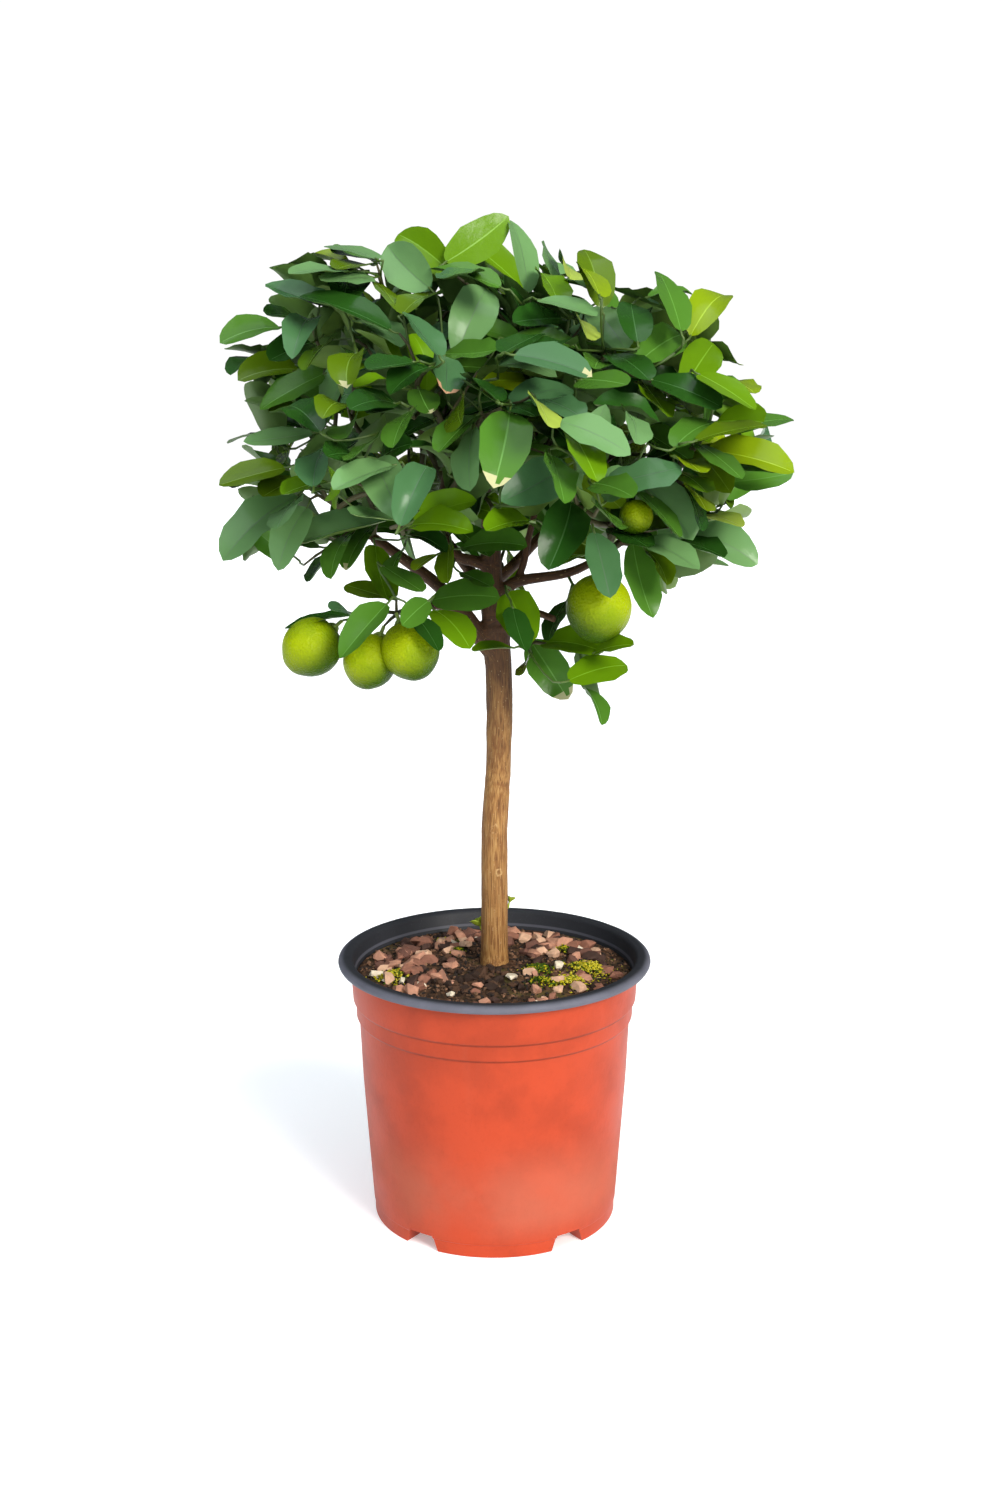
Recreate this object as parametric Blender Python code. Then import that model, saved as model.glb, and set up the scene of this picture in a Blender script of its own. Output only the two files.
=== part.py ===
"""A lime tree grown as a small standard, in a two-colour plastic pot.

Units are metres and +Z is up. The origin is on the pot's axis, at the level that the pot stands on.
The plant is seen from -Y, with +X to the right. Tables of places and sizes below are in millimetres.
"""

import math

import bmesh
import bpy
from mathutils import Matrix, Vector, noise

MM = 0.001

# Gap between pieces that touch
GAP = 0.3

# Pot shell
POT_SEGMENTS = 50
WALL = 1.6
FOOT_RADIUS = 86.3
FOOT_WIDTH = 14.3
FOOT_LINE = 9.0
BASE_UNDERSIDE = 12.0
BASE_TOP = 14.0
WALL_FOOT_RADIUS = 87.1
WALL_MIDDLE = (93.5, 100.0)
WALL_TOP = (95.6, 145.6)
LOWER_BAND = (97.6, 147.8)
LOWER_BAND_TOP = (97.8, 157.8)
COLLAR_FOOT = (99.8, 160.0)
COLLAR_TOP = (101.5, 184.2)

# Feet, and the gaps that drain between them
FEET = 5
NOTCH_HEIGHT = 11.0
NOTCH_WIDTH_BELOW = 27.0
NOTCH_WIDTH_ABOVE = 19.0
DRAIN_RADIUS = 6.0
DRAIN_CIRCLE = 60.0
DRAIN_SIDES = 12
CUTTER_OVERRUN = 5.0

# Rolled rim with the inner skin that it continues
RIM_RADIUS = 110.0
RIM_UNDERSIDE = 184.5
RIM_HEIGHT = 6.0
SKIN = 1.1
SKIN_FOOT = 168.0
LEDGE = 180.0
LEDGE_WIDTH = 0.9

# Section of the lip: how far in from its outermost edge, and how far up its height
LIP = ((1.0, 0.07), (0.0, 0.42), (1.2, 0.78), (4.5, 1.0), (8.8, 0.93))
THROAT_CORNER = 0.55

# Compost
COMPOST_SEGMENTS = 32
COMPOST_EDGE = 176.5
SOIL_LEVEL = 183.7
STEM_PATCH = 15.0
LUMP_HEIGHT = 1.1
LUMPS_PER_MM = 0.06

# Rise of the mound: share of the way out to the wall, and share of the full rise there
MOUND = ((0.86, 0.12), (0.62, 0.5), (0.36, 0.85))

# Limbs
LIMB_SIDES = 8
TRUNK_RINGS = 11
BOUGH_RINGS = 6
TRUNK_FOOT = SOIL_LEVEL + GAP
FORK = 424.5

# Rings that are cut level, where the trunk meets the soil and the leader
LEVEL_CUTS = {"trunk": (0, -1), "leader": (0,)}

# Trunk: height, sideways place and radius
TRUNK_STATIONS = (
    (TRUNK_FOOT, 0.0, 10.6),
    (196.0, 0.0, 10.0),
    (244.0, 0.1, 9.8),
    (280.0, 0.2, 9.7),
    (309.0, 1.9, 9.3),
    (323.0, 2.8, 9.1),
    (344.0, 3.3, 9.3),
    (372.0, 3.6, 9.6),
    (400.0, 2.8, 9.6),
    (FORK, 0.8, 9.6),
)

# Boughs: the limb that each one leaves, its route, and its radius at both ends
BOUGHS = {
    "leader": {
        "leaves": None,
        "route": ((0.8, 0, FORK + GAP), (-1.4, 0, 441), (-2.1, 0, 470), (-2, 3, 503)),
        "radii": (9.2, 6.2),
    },
    "bough_left": {
        "leaves": "trunk",
        "route": ((0, 0, 404), (-10, -2, 417), (-21, -4, 434), (-44, 3, 456), (-82, 14, 482)),
        "radii": (6.6, 3.4),
    },
    "bough_left_upper": {
        "leaves": "leader",
        "route": ((0, 0, 465), (-13, -3, 468), (-30, -14, 476), (-45, -42, 504)),
        "radii": (4.6, 2.8),
    },
    "bough_left_low": {
        "leaves": "bough_left",
        "route": ((-21, -4, 434), (-33, -20, 440), (-46, -38, 443), (-62, -55, 441)),
        "radii": (3.2, 2.2),
    },
    "bough_right": {
        "leaves": "leader",
        "route": ((-2, 0, 440), (8, -1, 449), (18, -3, 455), (51, -6, 461), (75, -11, 474)),
        "radii": (5.2, 2.4),
    },
    "bough_right_upper": {
        "leaves": "bough_right",
        "route": ((14, -2, 452), (20, 1, 466), (24, 5, 486), (31, 9, 512)),
        "radii": (2.6, 2.0),
    },
    "bough_right_low": {
        "leaves": "leader",
        "route": ((-1, 0, 428), (10, -14, 432), (24, -30, 438), (40, -50, 436)),
        "radii": (3.4, 2.2),
    },
    "bough_back_left": {
        "leaves": "leader",
        "route": ((-2, 0, 446), (-14, 16, 456), (-34, 40, 478), (-62, 70, 510)),
        "radii": (4.6, 3.0),
    },
    "bough_back_right": {
        "leaves": "leader",
        "route": ((-2, 0, 452), (12, 14, 462), (36, 38, 484), (66, 64, 512)),
        "radii": (4.4, 2.8),
    },
    "bough_back": {
        "leaves": "trunk",
        "route": ((1, 0, 412), (4, 14, 424), (6, 36, 440), (4, 66, 458)),
        "radii": (4.2, 2.8),
    },
}

# Masses of foliage: centre and half sizes
MASSES = {
    "foliage_heart": ((0, 12, 562), (62, 60, 64)),
    "foliage_top": ((-16, -14, 638), (68, 72, 54)),
    "foliage_upper_left": ((-99, -22, 624), (57, 76, 50)),
    "foliage_upper_right": ((86, -14, 614), (73, 84, 55)),
    "foliage_left": ((-136, 30, 592), (56, 68, 33)),
    "foliage_left_low": ((-132, 10, 504), (63, 76, 50)),
    "foliage_front_left": ((-60, -96, 554), (62, 92, 66)),
    "foliage_front_right": ((38, -100, 552), (66, 88, 70)),
    "foliage_right": ((140, -30, 556), (60, 84, 44)),
    "foliage_right_low": ((117, -4, 495), (64, 84, 53)),
    "foliage_fruit_left": ((-83, -72, 437), (58, 46, 44)),
    "foliage_fruit_right": ((56, -60, 427), (43, 44, 60)),
    "foliage_back_left": ((-78, 98, 548), (82, 86, 82)),
    "foliage_back_right": ((84, 96, 546), (84, 86, 82)),
    "foliage_back_top": ((6, 88, 616), (84, 84, 62)),
    "foliage_back_low": ((6, 100, 482), (76, 76, 54)),
}
MASS_DETAIL = 3
UNEVENNESS = 0.16
BUMP_SIZE = 1.35

# Finishes: colour, roughness
TERRACOTTA = ((0.62, 0.13, 0.06), 0.45)
BLACK_PLASTIC = ((0.03, 0.035, 0.045), 0.4)
DARK_EARTH = ((0.06, 0.03, 0.015), 0.95)
BARK = ((0.30, 0.17, 0.07), 0.85)
LEAF_GREENS = ((0.05, 0.16, 0.03), (0.04, 0.12, 0.04), (0.09, 0.22, 0.03))
LEAF_ROUGHNESS = 0.5


def clear_scene():
    for thing in list(bpy.data.objects):
        bpy.data.objects.remove(thing, do_unlink=True)


def finish_material(name, colour, roughness):
    material = bpy.data.materials.new(name)
    material.use_nodes = True
    shader = material.node_tree.nodes["Principled BSDF"]
    shader.inputs["Base Color"].default_value = (*colour, 1.0)
    shader.inputs["Roughness"].default_value = roughness
    shader.inputs["Metallic"].default_value = 0.0
    return material


def add_object(name, mesh, material=None, sharp_degrees=35.0):
    """Turns a bmesh, worked in millimetres, into an object in metres with its faces pointing out."""
    bmesh.ops.recalc_face_normals(mesh, faces=mesh.faces)
    bmesh.ops.scale(mesh, vec=(MM, MM, MM), verts=mesh.verts)
    data = bpy.data.meshes.new(name)
    mesh.to_mesh(data)
    mesh.free()
    data.shade_smooth()
    data.set_sharp_from_angle(angle=math.radians(sharp_degrees))
    if material:
        data.materials.append(material)
    thing = bpy.data.objects.new(name, data)
    bpy.context.scene.collection.objects.link(thing)
    return thing


def as_cutter(thing):
    thing.hide_render = True
    thing.display_type = "WIRE"
    return thing


def cut(thing, cutter):
    modifier = thing.modifiers.new("cut_" + cutter.name, "BOOLEAN")
    modifier.operation = "DIFFERENCE"
    modifier.solver = "EXACT"
    modifier.object = cutter


def turned(outline, segments, is_ring):
    """A bmesh turned about Z from (radius, height) points. A ring's outline closes on itself."""
    mesh = bmesh.new()
    corners = [mesh.verts.new((radius, 0.0, height)) for radius, height in outline]
    edges = [mesh.edges.new(pair) for pair in zip(corners, corners[1:])]
    if is_ring:
        edges.append(mesh.edges.new((corners[-1], corners[0])))
    bmesh.ops.spin(
        mesh,
        geom=corners + edges,
        cent=(0, 0, 0),
        axis=(0, 0, 1),
        angle=math.tau,
        steps=segments,
        use_merge=True,
    )
    bmesh.ops.remove_doubles(mesh, verts=mesh.verts, dist=0.01)
    return mesh


def inside_wall(point, clearance=0.0):
    """The point of the pot's inner face that is level with a point of its outer face."""
    return point[0] - WALL - clearance, point[1]


def make_pot_shell():
    """Tapered wall with two bands and a collar, a base plate, and a flat-bottomed foot ring."""
    outside = [
        (FOOT_RADIUS, 0.0),
        (FOOT_RADIUS, FOOT_LINE),
        (WALL_FOOT_RADIUS, FOOT_LINE + 0.6),
        WALL_MIDDLE,
        WALL_TOP,
        LOWER_BAND,
        LOWER_BAND_TOP,
        COLLAR_FOOT,
        COLLAR_TOP,
    ]
    inside = [
        inside_wall(COLLAR_TOP),
        inside_wall(COLLAR_FOOT),
        inside_wall(WALL_TOP),
        inside_wall(WALL_MIDDLE),
        inside_wall((WALL_FOOT_RADIUS, BASE_TOP)),
        (0.0, BASE_TOP),
    ]
    underside = [
        (0.0, BASE_UNDERSIDE),
        (FOOT_RADIUS - FOOT_WIDTH, BASE_UNDERSIDE),
        (FOOT_RADIUS - FOOT_WIDTH, 0.0),
    ]
    mesh = turned(underside + outside + inside, POT_SEGMENTS, is_ring=False)
    pot = add_object("pot", mesh, finish_material("terracotta_plastic", *TERRACOTTA))
    for index in range(FEET):
        angle = math.tau * (index + 0.5) / FEET - math.pi / 2
        cut(pot, make_notch_cutter(index, angle))
        cut(pot, make_drain_cutter(index, angle))
    return pot


def make_notch_cutter(index, angle):
    """A wedge through the foot ring, wider at the floor than above."""
    widening = (NOTCH_WIDTH_BELOW - NOTCH_WIDTH_ABOVE) / NOTCH_HEIGHT
    mesh = bmesh.new()
    bmesh.ops.create_cube(mesh, size=1.0)
    for corner in mesh.verts:
        height = NOTCH_HEIGHT if corner.co.z > 0 else -CUTTER_OVERRUN
        width = NOTCH_WIDTH_BELOW - widening * height
        radius = FOOT_RADIUS if corner.co.x > 0 else FOOT_RADIUS - FOOT_WIDTH
        overrun = math.copysign(CUTTER_OVERRUN, corner.co.x)
        corner.co = Vector((radius + overrun, math.copysign(width / 2, corner.co.y), height))
    bmesh.ops.rotate(mesh, verts=mesh.verts, matrix=Matrix.Rotation(angle, 3, "Z"))
    return as_cutter(add_object(f"cutter_notch_{index + 1}", mesh))


def make_drain_cutter(index, angle):
    mesh = bmesh.new()
    bmesh.ops.create_cone(
        mesh,
        cap_ends=True,
        segments=DRAIN_SIDES,
        radius1=DRAIN_RADIUS,
        radius2=DRAIN_RADIUS,
        depth=BASE_TOP - BASE_UNDERSIDE + 2 * CUTTER_OVERRUN,
    )
    bmesh.ops.translate(mesh, verts=mesh.verts, vec=(DRAIN_CIRCLE, 0, (BASE_TOP + BASE_UNDERSIDE) / 2))
    bmesh.ops.rotate(mesh, verts=mesh.verts, matrix=Matrix.Rotation(angle, 3, "Z"))
    return as_cutter(add_object(f"cutter_drain_{index + 1}", mesh))


def skin_outside(height):
    """The inner skin's outer radius, which follows the collar's inner face."""
    slope = (COLLAR_TOP[0] - COLLAR_FOOT[0]) / (COLLAR_TOP[1] - COLLAR_FOOT[1])
    return COLLAR_FOOT[0] + slope * (height - COLLAR_FOOT[1]) - WALL - GAP


def make_rim():
    """The rolled lip, and the skin that runs down from it to below the compost's edge."""
    lip = [(RIM_RADIUS - inward, RIM_UNDERSIDE + RIM_HEIGHT * share) for inward, share in LIP]
    ledge_edge = skin_outside(LEDGE) - SKIN
    outline = [
        (skin_outside(SKIN_FOOT), SKIN_FOOT),
        (skin_outside(RIM_UNDERSIDE), RIM_UNDERSIDE),
        *lip,
        (skin_outside(LEDGE), RIM_UNDERSIDE + RIM_HEIGHT * THROAT_CORNER),
        (ledge_edge + LEDGE_WIDTH / 2, LEDGE),
        (ledge_edge - LEDGE_WIDTH / 2, LEDGE - LEDGE_WIDTH),
        (skin_outside(SKIN_FOOT) - SKIN, SKIN_FOOT),
    ]
    mesh = turned(outline, POT_SEGMENTS, is_ring=True)
    return add_object("pot_rim", mesh, finish_material("black_plastic", *BLACK_PLASTIC))


def make_compost():
    """The fill, mounded towards the stem, with a flat patch that the trunk stands on."""
    throat = skin_outside(SKIN_FOOT) - SKIN - 2 * GAP
    foot = (WALL_FOOT_RADIUS, BASE_TOP + GAP)
    wall = [inside_wall(point, 2 * GAP) for point in (foot, WALL_MIDDLE, WALL_TOP)]
    rise = SOIL_LEVEL - COMPOST_EDGE
    mound = [(throat * out, COMPOST_EDGE + rise * share) for out, share in MOUND]
    outline = [
        (0.0, BASE_TOP + GAP),
        *wall,
        (throat, COLLAR_FOOT[1]),
        (throat, COMPOST_EDGE),
        *mound,
        (STEM_PATCH, SOIL_LEVEL),
        (0.0, SOIL_LEVEL),
    ]
    mesh = turned(outline, COMPOST_SEGMENTS, is_ring=False)
    for corner in mesh.verts:
        on_mound = STEM_PATCH + GAP < corner.co.xy.length and corner.co.z > COMPOST_EDGE - GAP
        if on_mound:
            corner.co.z += LUMP_HEIGHT * noise.noise(corner.co * LUMPS_PER_MM)
    return add_object("compost", mesh, finish_material("potting_compost", *DARK_EARTH))


def smooth_route(stations, count):
    """Evenly stepped points on a smooth curve through the stations, each a tuple of numbers."""
    padded = [stations[0], *stations, stations[-1]]
    spans = len(stations) - 1
    route = []
    for step in range(count):
        along = step / (count - 1) * spans
        span = min(int(along), spans - 1)
        t = along - span
        before, start, end, after = padded[span : span + 4]
        point = []
        for a, b, c, d in zip(before, start, end, after):
            bend = (2 * a - 5 * b + 4 * c - d) * t * t + (3 * b - a - 3 * c + d) * t**3
            point.append(0.5 * (2 * b + (c - a) * t + bend))
        route.append(tuple(point))
    return route


def trunk_rings():
    """Centre and radius of each ring of the trunk, from the soil to the fork."""
    return [(Vector((x, 0, z)), radius) for z, x, radius in smooth_route(TRUNK_STATIONS, TRUNK_RINGS)]


def bough_rings(name):
    thick, thin = BOUGHS[name]["radii"]
    route = [Vector(point) for point in smooth_route(BOUGHS[name]["route"], BOUGH_RINGS)]
    last = len(route) - 1
    return [(point, thick + (thin - thick) * index / last) for index, point in enumerate(route)]


def limb_mesh(name, rings, swell=0.0):
    """A closed tapering tube, bridged from ring to ring along a limb."""
    mesh = bmesh.new()
    side_on = Vector((0, 1, 0))
    last = len(rings) - 1
    level_rings = [ring % len(rings) for ring in LEVEL_CUTS.get(name, ())]
    loop_below = []
    for index, (centre, radius) in enumerate(rings):
        ahead = rings[min(index + 1, last)][0] - rings[max(index - 1, 0)][0]
        if index in level_rings:
            ahead = Vector((0, 0, 1))
        ahead.normalize()
        side_on = (side_on - ahead * side_on.dot(ahead)).normalized()
        turned_to_limb = Matrix((side_on, ahead.cross(side_on), ahead)).transposed().to_4x4()
        ring = bmesh.ops.create_circle(
            mesh,
            cap_ends=index in (0, last),
            segments=LIMB_SIDES,
            radius=radius + swell,
            matrix=Matrix.Translation(centre) @ turned_to_limb,
        )
        loop = list({edge for corner in ring["verts"] for edge in corner.link_edges})
        if loop_below:
            bmesh.ops.bridge_loops(mesh, edges=loop_below + loop)
        loop_below = loop
    return mesh


def make_limbs():
    """The trunk, and each bough cut to the shape of the limb that it leaves."""
    bark = finish_material("bark", *BARK)
    rings = {"trunk": trunk_rings()}
    add_object("trunk", limb_mesh("trunk", rings["trunk"]), bark)
    for name in BOUGHS:
        parent = BOUGHS[name]["leaves"]
        rings[name] = bough_rings(name)
        bough = add_object(name, limb_mesh(name, rings[name]), bark)
        around = {"trunk", "leader", parent} if parent else ()
        for neighbour in sorted(around):
            cut(bough, limb_cutter(neighbour, rings[neighbour]))
    return rings


def limb_cutter(name, rings):
    """A limb swollen and lengthened by the gap, made once, which shapes the foot of what leaves it."""
    made = bpy.data.objects.get("cutter_" + name)
    if made:
        return made
    (foot, foot_radius), (tip, tip_radius) = rings[0], rings[-1]
    lower = foot - (rings[1][0] - foot).normalized() * 2 * GAP
    upper = tip + (tip - rings[-2][0]).normalized() * 2 * GAP
    longer = [(lower, foot_radius), *rings[1:-1], (upper, tip_radius)]
    return as_cutter(add_object("cutter_" + name, limb_mesh(name, longer, swell=GAP)))


def ellipsoid_reach(half_sizes, direction):
    """Distance from an ellipsoid's centre to its surface along a unit direction."""
    return 1.0 / math.sqrt(sum((part / half) ** 2 for part, half in zip(direction, half_sizes)))


def neighbour_planes(name):
    """Planes between a mass and each other mass, as (unit direction, distance from the centre)."""
    centre, half_sizes = Vector(MASSES[name][0]), MASSES[name][1]
    planes = []
    for other, (other_centre, other_sizes) in MASSES.items():
        if other == name:
            continue
        towards = Vector(other_centre) - centre
        apart = towards.length
        towards.normalize()
        mine = ellipsoid_reach(half_sizes, towards)
        theirs = ellipsoid_reach(other_sizes, towards)
        planes.append((towards, apart * mine / (mine + theirs) - GAP))
    return planes


def limb_planes(name, limbs):
    """Planes that keep a mass off each stretch of every limb, in the same form."""
    centre = Vector(MASSES[name][0])
    planes = []
    for rings in limbs.values():
        for (start, wide), (end, narrow) in zip(rings, rings[1:]):
            along = end - start
            share = max(0.0, min(1.0, (centre - start).dot(along) / along.length_squared))
            facing = (start + along * share - centre).normalized()
            if end is rings[-1][0]:
                # A limb's last ring is its flat end, which a mass may meet face to face
                narrow *= facing.cross(along.normalized()).length
            reach = min((start - centre).dot(facing) - wide, (end - centre).dot(facing) - narrow)
            planes.append((facing, reach - GAP))
    return planes


def make_mass(name, order, limbs, material):
    """An uneven closed solid about a centre, held back by the planes to its neighbours."""
    centre, half_sizes = MASSES[name]
    planes = neighbour_planes(name) + limb_planes(name, limbs)
    mesh = bmesh.new()
    bmesh.ops.create_icosphere(mesh, subdivisions=MASS_DETAIL, radius=1.0)
    for corner in mesh.verts:
        direction = corner.co.normalized()
        bump = noise.noise(direction * BUMP_SIZE + Vector((order, 2.0 * order, 0.0)))
        reach = ellipsoid_reach(half_sizes, direction) * (1.0 + UNEVENNESS * bump)
        for facing, distance in planes:
            lean = direction.dot(facing)
            if lean > 0:
                reach = min(reach, distance / lean)
        corner.co = Vector(centre) + direction * reach
    return add_object(name, mesh, material, sharp_degrees=60.0)


def make_foliage(limbs):
    greens = [finish_material(f"leaf_green_{i + 1}", g, LEAF_ROUGHNESS) for i, g in enumerate(LEAF_GREENS)]
    for order, name in enumerate(MASSES, start=1):
        make_mass(name, order, limbs, greens[order % len(greens)])


def main():
    clear_scene()
    make_pot_shell()
    make_rim()
    make_compost()
    make_foliage(make_limbs())


if __name__ == "__main__":
    main()
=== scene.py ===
"""The looks of a potted lime tree: its bark, twigs, leaves and fruit, and the pot it grows in."""

import functools
import math
import random
from collections import namedtuple

import bmesh
import bpy
import numpy as np
from mathutils import Matrix, Vector, noise
from mathutils.bvhtree import BVHTree
from mathutils.kdtree import KDTree


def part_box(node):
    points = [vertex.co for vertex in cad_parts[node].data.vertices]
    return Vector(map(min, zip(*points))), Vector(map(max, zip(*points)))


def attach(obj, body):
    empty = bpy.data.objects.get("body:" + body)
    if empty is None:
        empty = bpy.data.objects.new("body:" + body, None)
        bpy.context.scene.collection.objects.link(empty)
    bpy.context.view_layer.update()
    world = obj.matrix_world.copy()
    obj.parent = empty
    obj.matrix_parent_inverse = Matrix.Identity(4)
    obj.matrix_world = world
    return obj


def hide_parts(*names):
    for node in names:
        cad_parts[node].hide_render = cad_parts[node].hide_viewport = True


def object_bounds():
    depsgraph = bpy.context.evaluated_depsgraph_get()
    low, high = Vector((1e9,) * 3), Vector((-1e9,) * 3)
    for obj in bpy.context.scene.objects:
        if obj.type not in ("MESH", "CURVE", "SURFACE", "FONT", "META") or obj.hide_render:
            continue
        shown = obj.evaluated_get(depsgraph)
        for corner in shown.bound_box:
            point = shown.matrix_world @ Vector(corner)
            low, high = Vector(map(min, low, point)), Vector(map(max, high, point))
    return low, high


bl_info = {
    "name": "Potted Lime Tree",
    "version": (1, 0, 0),
    "blender": (4, 5, 0),
    "location": "View3D > Sidebar > Lime Tree",
    "description": "Grows a young lime tree on its limbs and finishes its pot",
    "category": "Add Mesh",
}

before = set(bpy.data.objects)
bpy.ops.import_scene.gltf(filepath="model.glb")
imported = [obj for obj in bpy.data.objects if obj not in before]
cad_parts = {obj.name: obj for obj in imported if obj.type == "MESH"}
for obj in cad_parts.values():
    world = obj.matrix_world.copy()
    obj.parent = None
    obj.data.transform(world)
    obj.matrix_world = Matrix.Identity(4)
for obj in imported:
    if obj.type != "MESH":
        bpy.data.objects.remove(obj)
CAD_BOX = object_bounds()

# The tables below are in millimetres, and the scene is in metres
MM = 0.001
UP = Vector((0, 0, 1))
# Turn from one leaf on a shoot to the next
GOLDEN_ANGLE = math.radians(137.5)

# Picture, and the camera that was fitted to the pot in it
PICTURE_WIDTH = 1004
PICTURE_HEIGHT = 1506
FOCAL_PIXELS = 1953.25
CAMERA_PLACE = (0.0, -1.3118, 0.6370)
CAMERA_PITCH = 12.964
CAMERA_PAN = 0.2333

# Studio, in metres
FLOOR_RADIUS = 6.0
WALL_HEIGHT = 5.0
LIT_PLACE = Vector((0, 0, 0.4))
KEY_PLACE = (1.40, -1.9, 1.80)
TOP_PLACE = (-0.2, -0.3, 2.4)
FILL_PLACE = (-0.5, -2.2, 0.9)
FLOOR_GLOW = 0.28

# Pot shell
POT_SEGMENTS = 160
WALL = 1.6
FOOT_RADIUS = 86.3
FOOT_WIDTH = 14.3
FOOT_LINE = 9.0
BASE_UNDERSIDE = 12.0
BASE_TOP = 14.0
WALL_FOOT = (87.1, 9.6)
WALL_MIDDLE = (93.5, 100.0)
WALL_TOP = (95.6, 145.6)
LOWER_BAND = (97.6, 147.8)
LOWER_BAND_TOP = (97.8, 157.8)
COLLAR_FOOT = (99.8, 160.0)
COLLAR_TOP = (101.5, 184.2)
CORNER_ROUND = 0.6
FEET = 5
NOTCH_HEIGHT = 11.0
NOTCH_WIDTH_BELOW = 27.0
NOTCH_WIDTH_ABOVE = 19.0
DRAIN_RADIUS = 6.0
DRAIN_CIRCLE = 60.0
CUTTER_OVERRUN = 5.0

# Rolled rim and its inner skin
RIM_RADIUS = 110.0
RIM_UNDERSIDE = 184.5
RIM_HEIGHT = 6.0
SKIN = 1.1
SKIN_FOOT = 168.0
LEDGE = 180.0
LEDGE_WIDTH = 0.9
LIP = ((1.0, 0.07), (0.0, 0.42), (1.2, 0.78), (4.5, 1.0), (8.8, 0.93))

# Compost, with the gap between it and the shell and the heights and closeness of its lumps
COMPOST_RADIUS = 97.0
FILL_GAP = 0.6
LUMPS = ((1.3, 0.055), (0.9, 0.17), (0.55, 0.5))
COMPOST_EDGE = 176.5
SOIL_LEVEL = 183.7
MOUND = ((1.0, 0.0), (0.86, 0.12), (0.62, 0.5), (0.36, 0.85), (0.16, 1.0), (0.0, 1.0))

# Trunk: height, sideways place and radius
TRUNK_STATIONS = (
    (178.0, 0.0, 11.6),
    (184.0, 0.0, 10.6),
    (196.0, 0.0, 10.0),
    (244.0, 0.1, 9.8),
    (280.0, 0.2, 9.7),
    (309.0, 1.9, 9.3),
    (323.0, 2.8, 9.1),
    (344.0, 3.3, 9.3),
    (372.0, 3.6, 9.6),
    (400.0, 2.8, 9.6),
    (424.5, 0.8, 9.6),
)

# Boughs: route, and radius at both ends
BOUGHS = {
    "leader": (((0.8, 0, 420), (0, 0, 430), (-1.4, 0, 441), (-2.1, 0, 470), (-2, 3, 503)), (9.4, 6.2)),
    "bough_left": (((0, 0, 404), (-10, -2, 417), (-21, -4, 434), (-44, 3, 456), (-82, 14, 482)), (6.6, 3.4)),
    "bough_left_upper": (((0, 0, 465), (-13, -3, 468), (-30, -14, 476), (-45, -42, 504)), (4.6, 2.8)),
    "bough_left_low": (((-21, -4, 434), (-33, -20, 440), (-46, -38, 443), (-62, -55, 441)), (3.2, 2.2)),
    "bough_right": (((-2, 0, 440), (8, -1, 449), (18, -3, 455), (51, -6, 461), (75, -11, 474)), (5.2, 2.4)),
    "bough_right_upper": (((14, -2, 452), (20, 1, 466), (24, 5, 486), (31, 9, 512)), (2.6, 2.0)),
    "bough_right_low": (((-1, 0, 428), (10, -14, 432), (24, -30, 438), (40, -50, 436)), (3.4, 2.2)),
    "bough_back_left": (((-2, 0, 446), (-14, 16, 456), (-34, 40, 478), (-62, 70, 510)), (4.6, 3.0)),
    "bough_back_right": (((-2, 0, 452), (12, 14, 462), (36, 38, 484), (66, 64, 512)), (4.4, 2.8)),
    "bough_back": (((1, 0, 412), (4, 14, 424), (6, 36, 440), (4, 66, 458)), (4.2, 2.8)),
}
ROUTE_STEP = 1.5

# Knots on the trunk: height, direction round it in degrees, width and height of the swelling, and how
# pale its ring is
KNOTS = (
    (283, -90, 4.2, 0.7, 0.55),
    (252, -71, 3.4, 0.6, 0.8),
    (230, -79, 3.0, 0.5, 0.25),
    (338, -50, 4.5, 0.6, 0.2),
    (306, 40, 5.0, 0.8, 0.4),
    (262, 120, 4.5, 0.7, 0.6),
    (372, 150, 5.0, 0.9, 0.3),
)

# Tints of the upper side of a leaf, their three shades, and the roughness of each shade
TINTS = {
    "bright": (0.102, 0.218, 0.003),
    "mid": (0.060, 0.165, 0.016),
    "deep": (0.016, 0.066, 0.007),
    "olive": (0.080, 0.145, 0.003),
    "yellow": (0.185, 0.278, 0.004),
    # The pale and sheen tints are painted sheen: the sky's bluish-white reflection on a glossy leaf, put
    # into its base colour
    "pale": (0.128, 0.262, 0.090),
    "sheen": (0.055, 0.142, 0.052),
    "fresh": (0.360, 0.470, 0.065),
}
TINT_SHADES = (0.72, 1.0, 1.30)
GLOSS = (0.26, 0.23, 0.32)
# The rib of a leaf is darker than its blade where the blade is pale or painted with sheen, and paler where
# it isn't
PALE_TINTS = ("pale", "sheen", "fresh")
RIB_DARKER = 0.72
RIB_PALER = 1.5
# Tints that the leaves of a shoot are dealt, the sheen and pale ones among them painting sheen into the
# colour
COMMON_TINTS = ("mid", "mid", "mid", "mid", "bright", "bright", "deep", "deep", "olive", "sheen", "pale")

# A leaf that the picture shows: pixel of its stalk and of its tip, the width it shows in pixels, its tint,
# how many layers of leaves it lies behind, what its end is like, and, for one that hangs clear of the
# crown's face, how far behind the pot's axis it is
Seen = namedtuple("Seen", "stalk tip width tint layer end back", defaults=(0, "", None))
# A leaf whose tip is more than this many pixels above its stalk stands up, and any other hangs
STANDING = 12

# Each tint was matched to how light or dark the leaf looks, so besides the leaf's own green it holds painted
# light and shade: a pale or sheen tint paints sheen, and a darker one, such as deep, partly paints the shade
# that the leaf lies in
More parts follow.
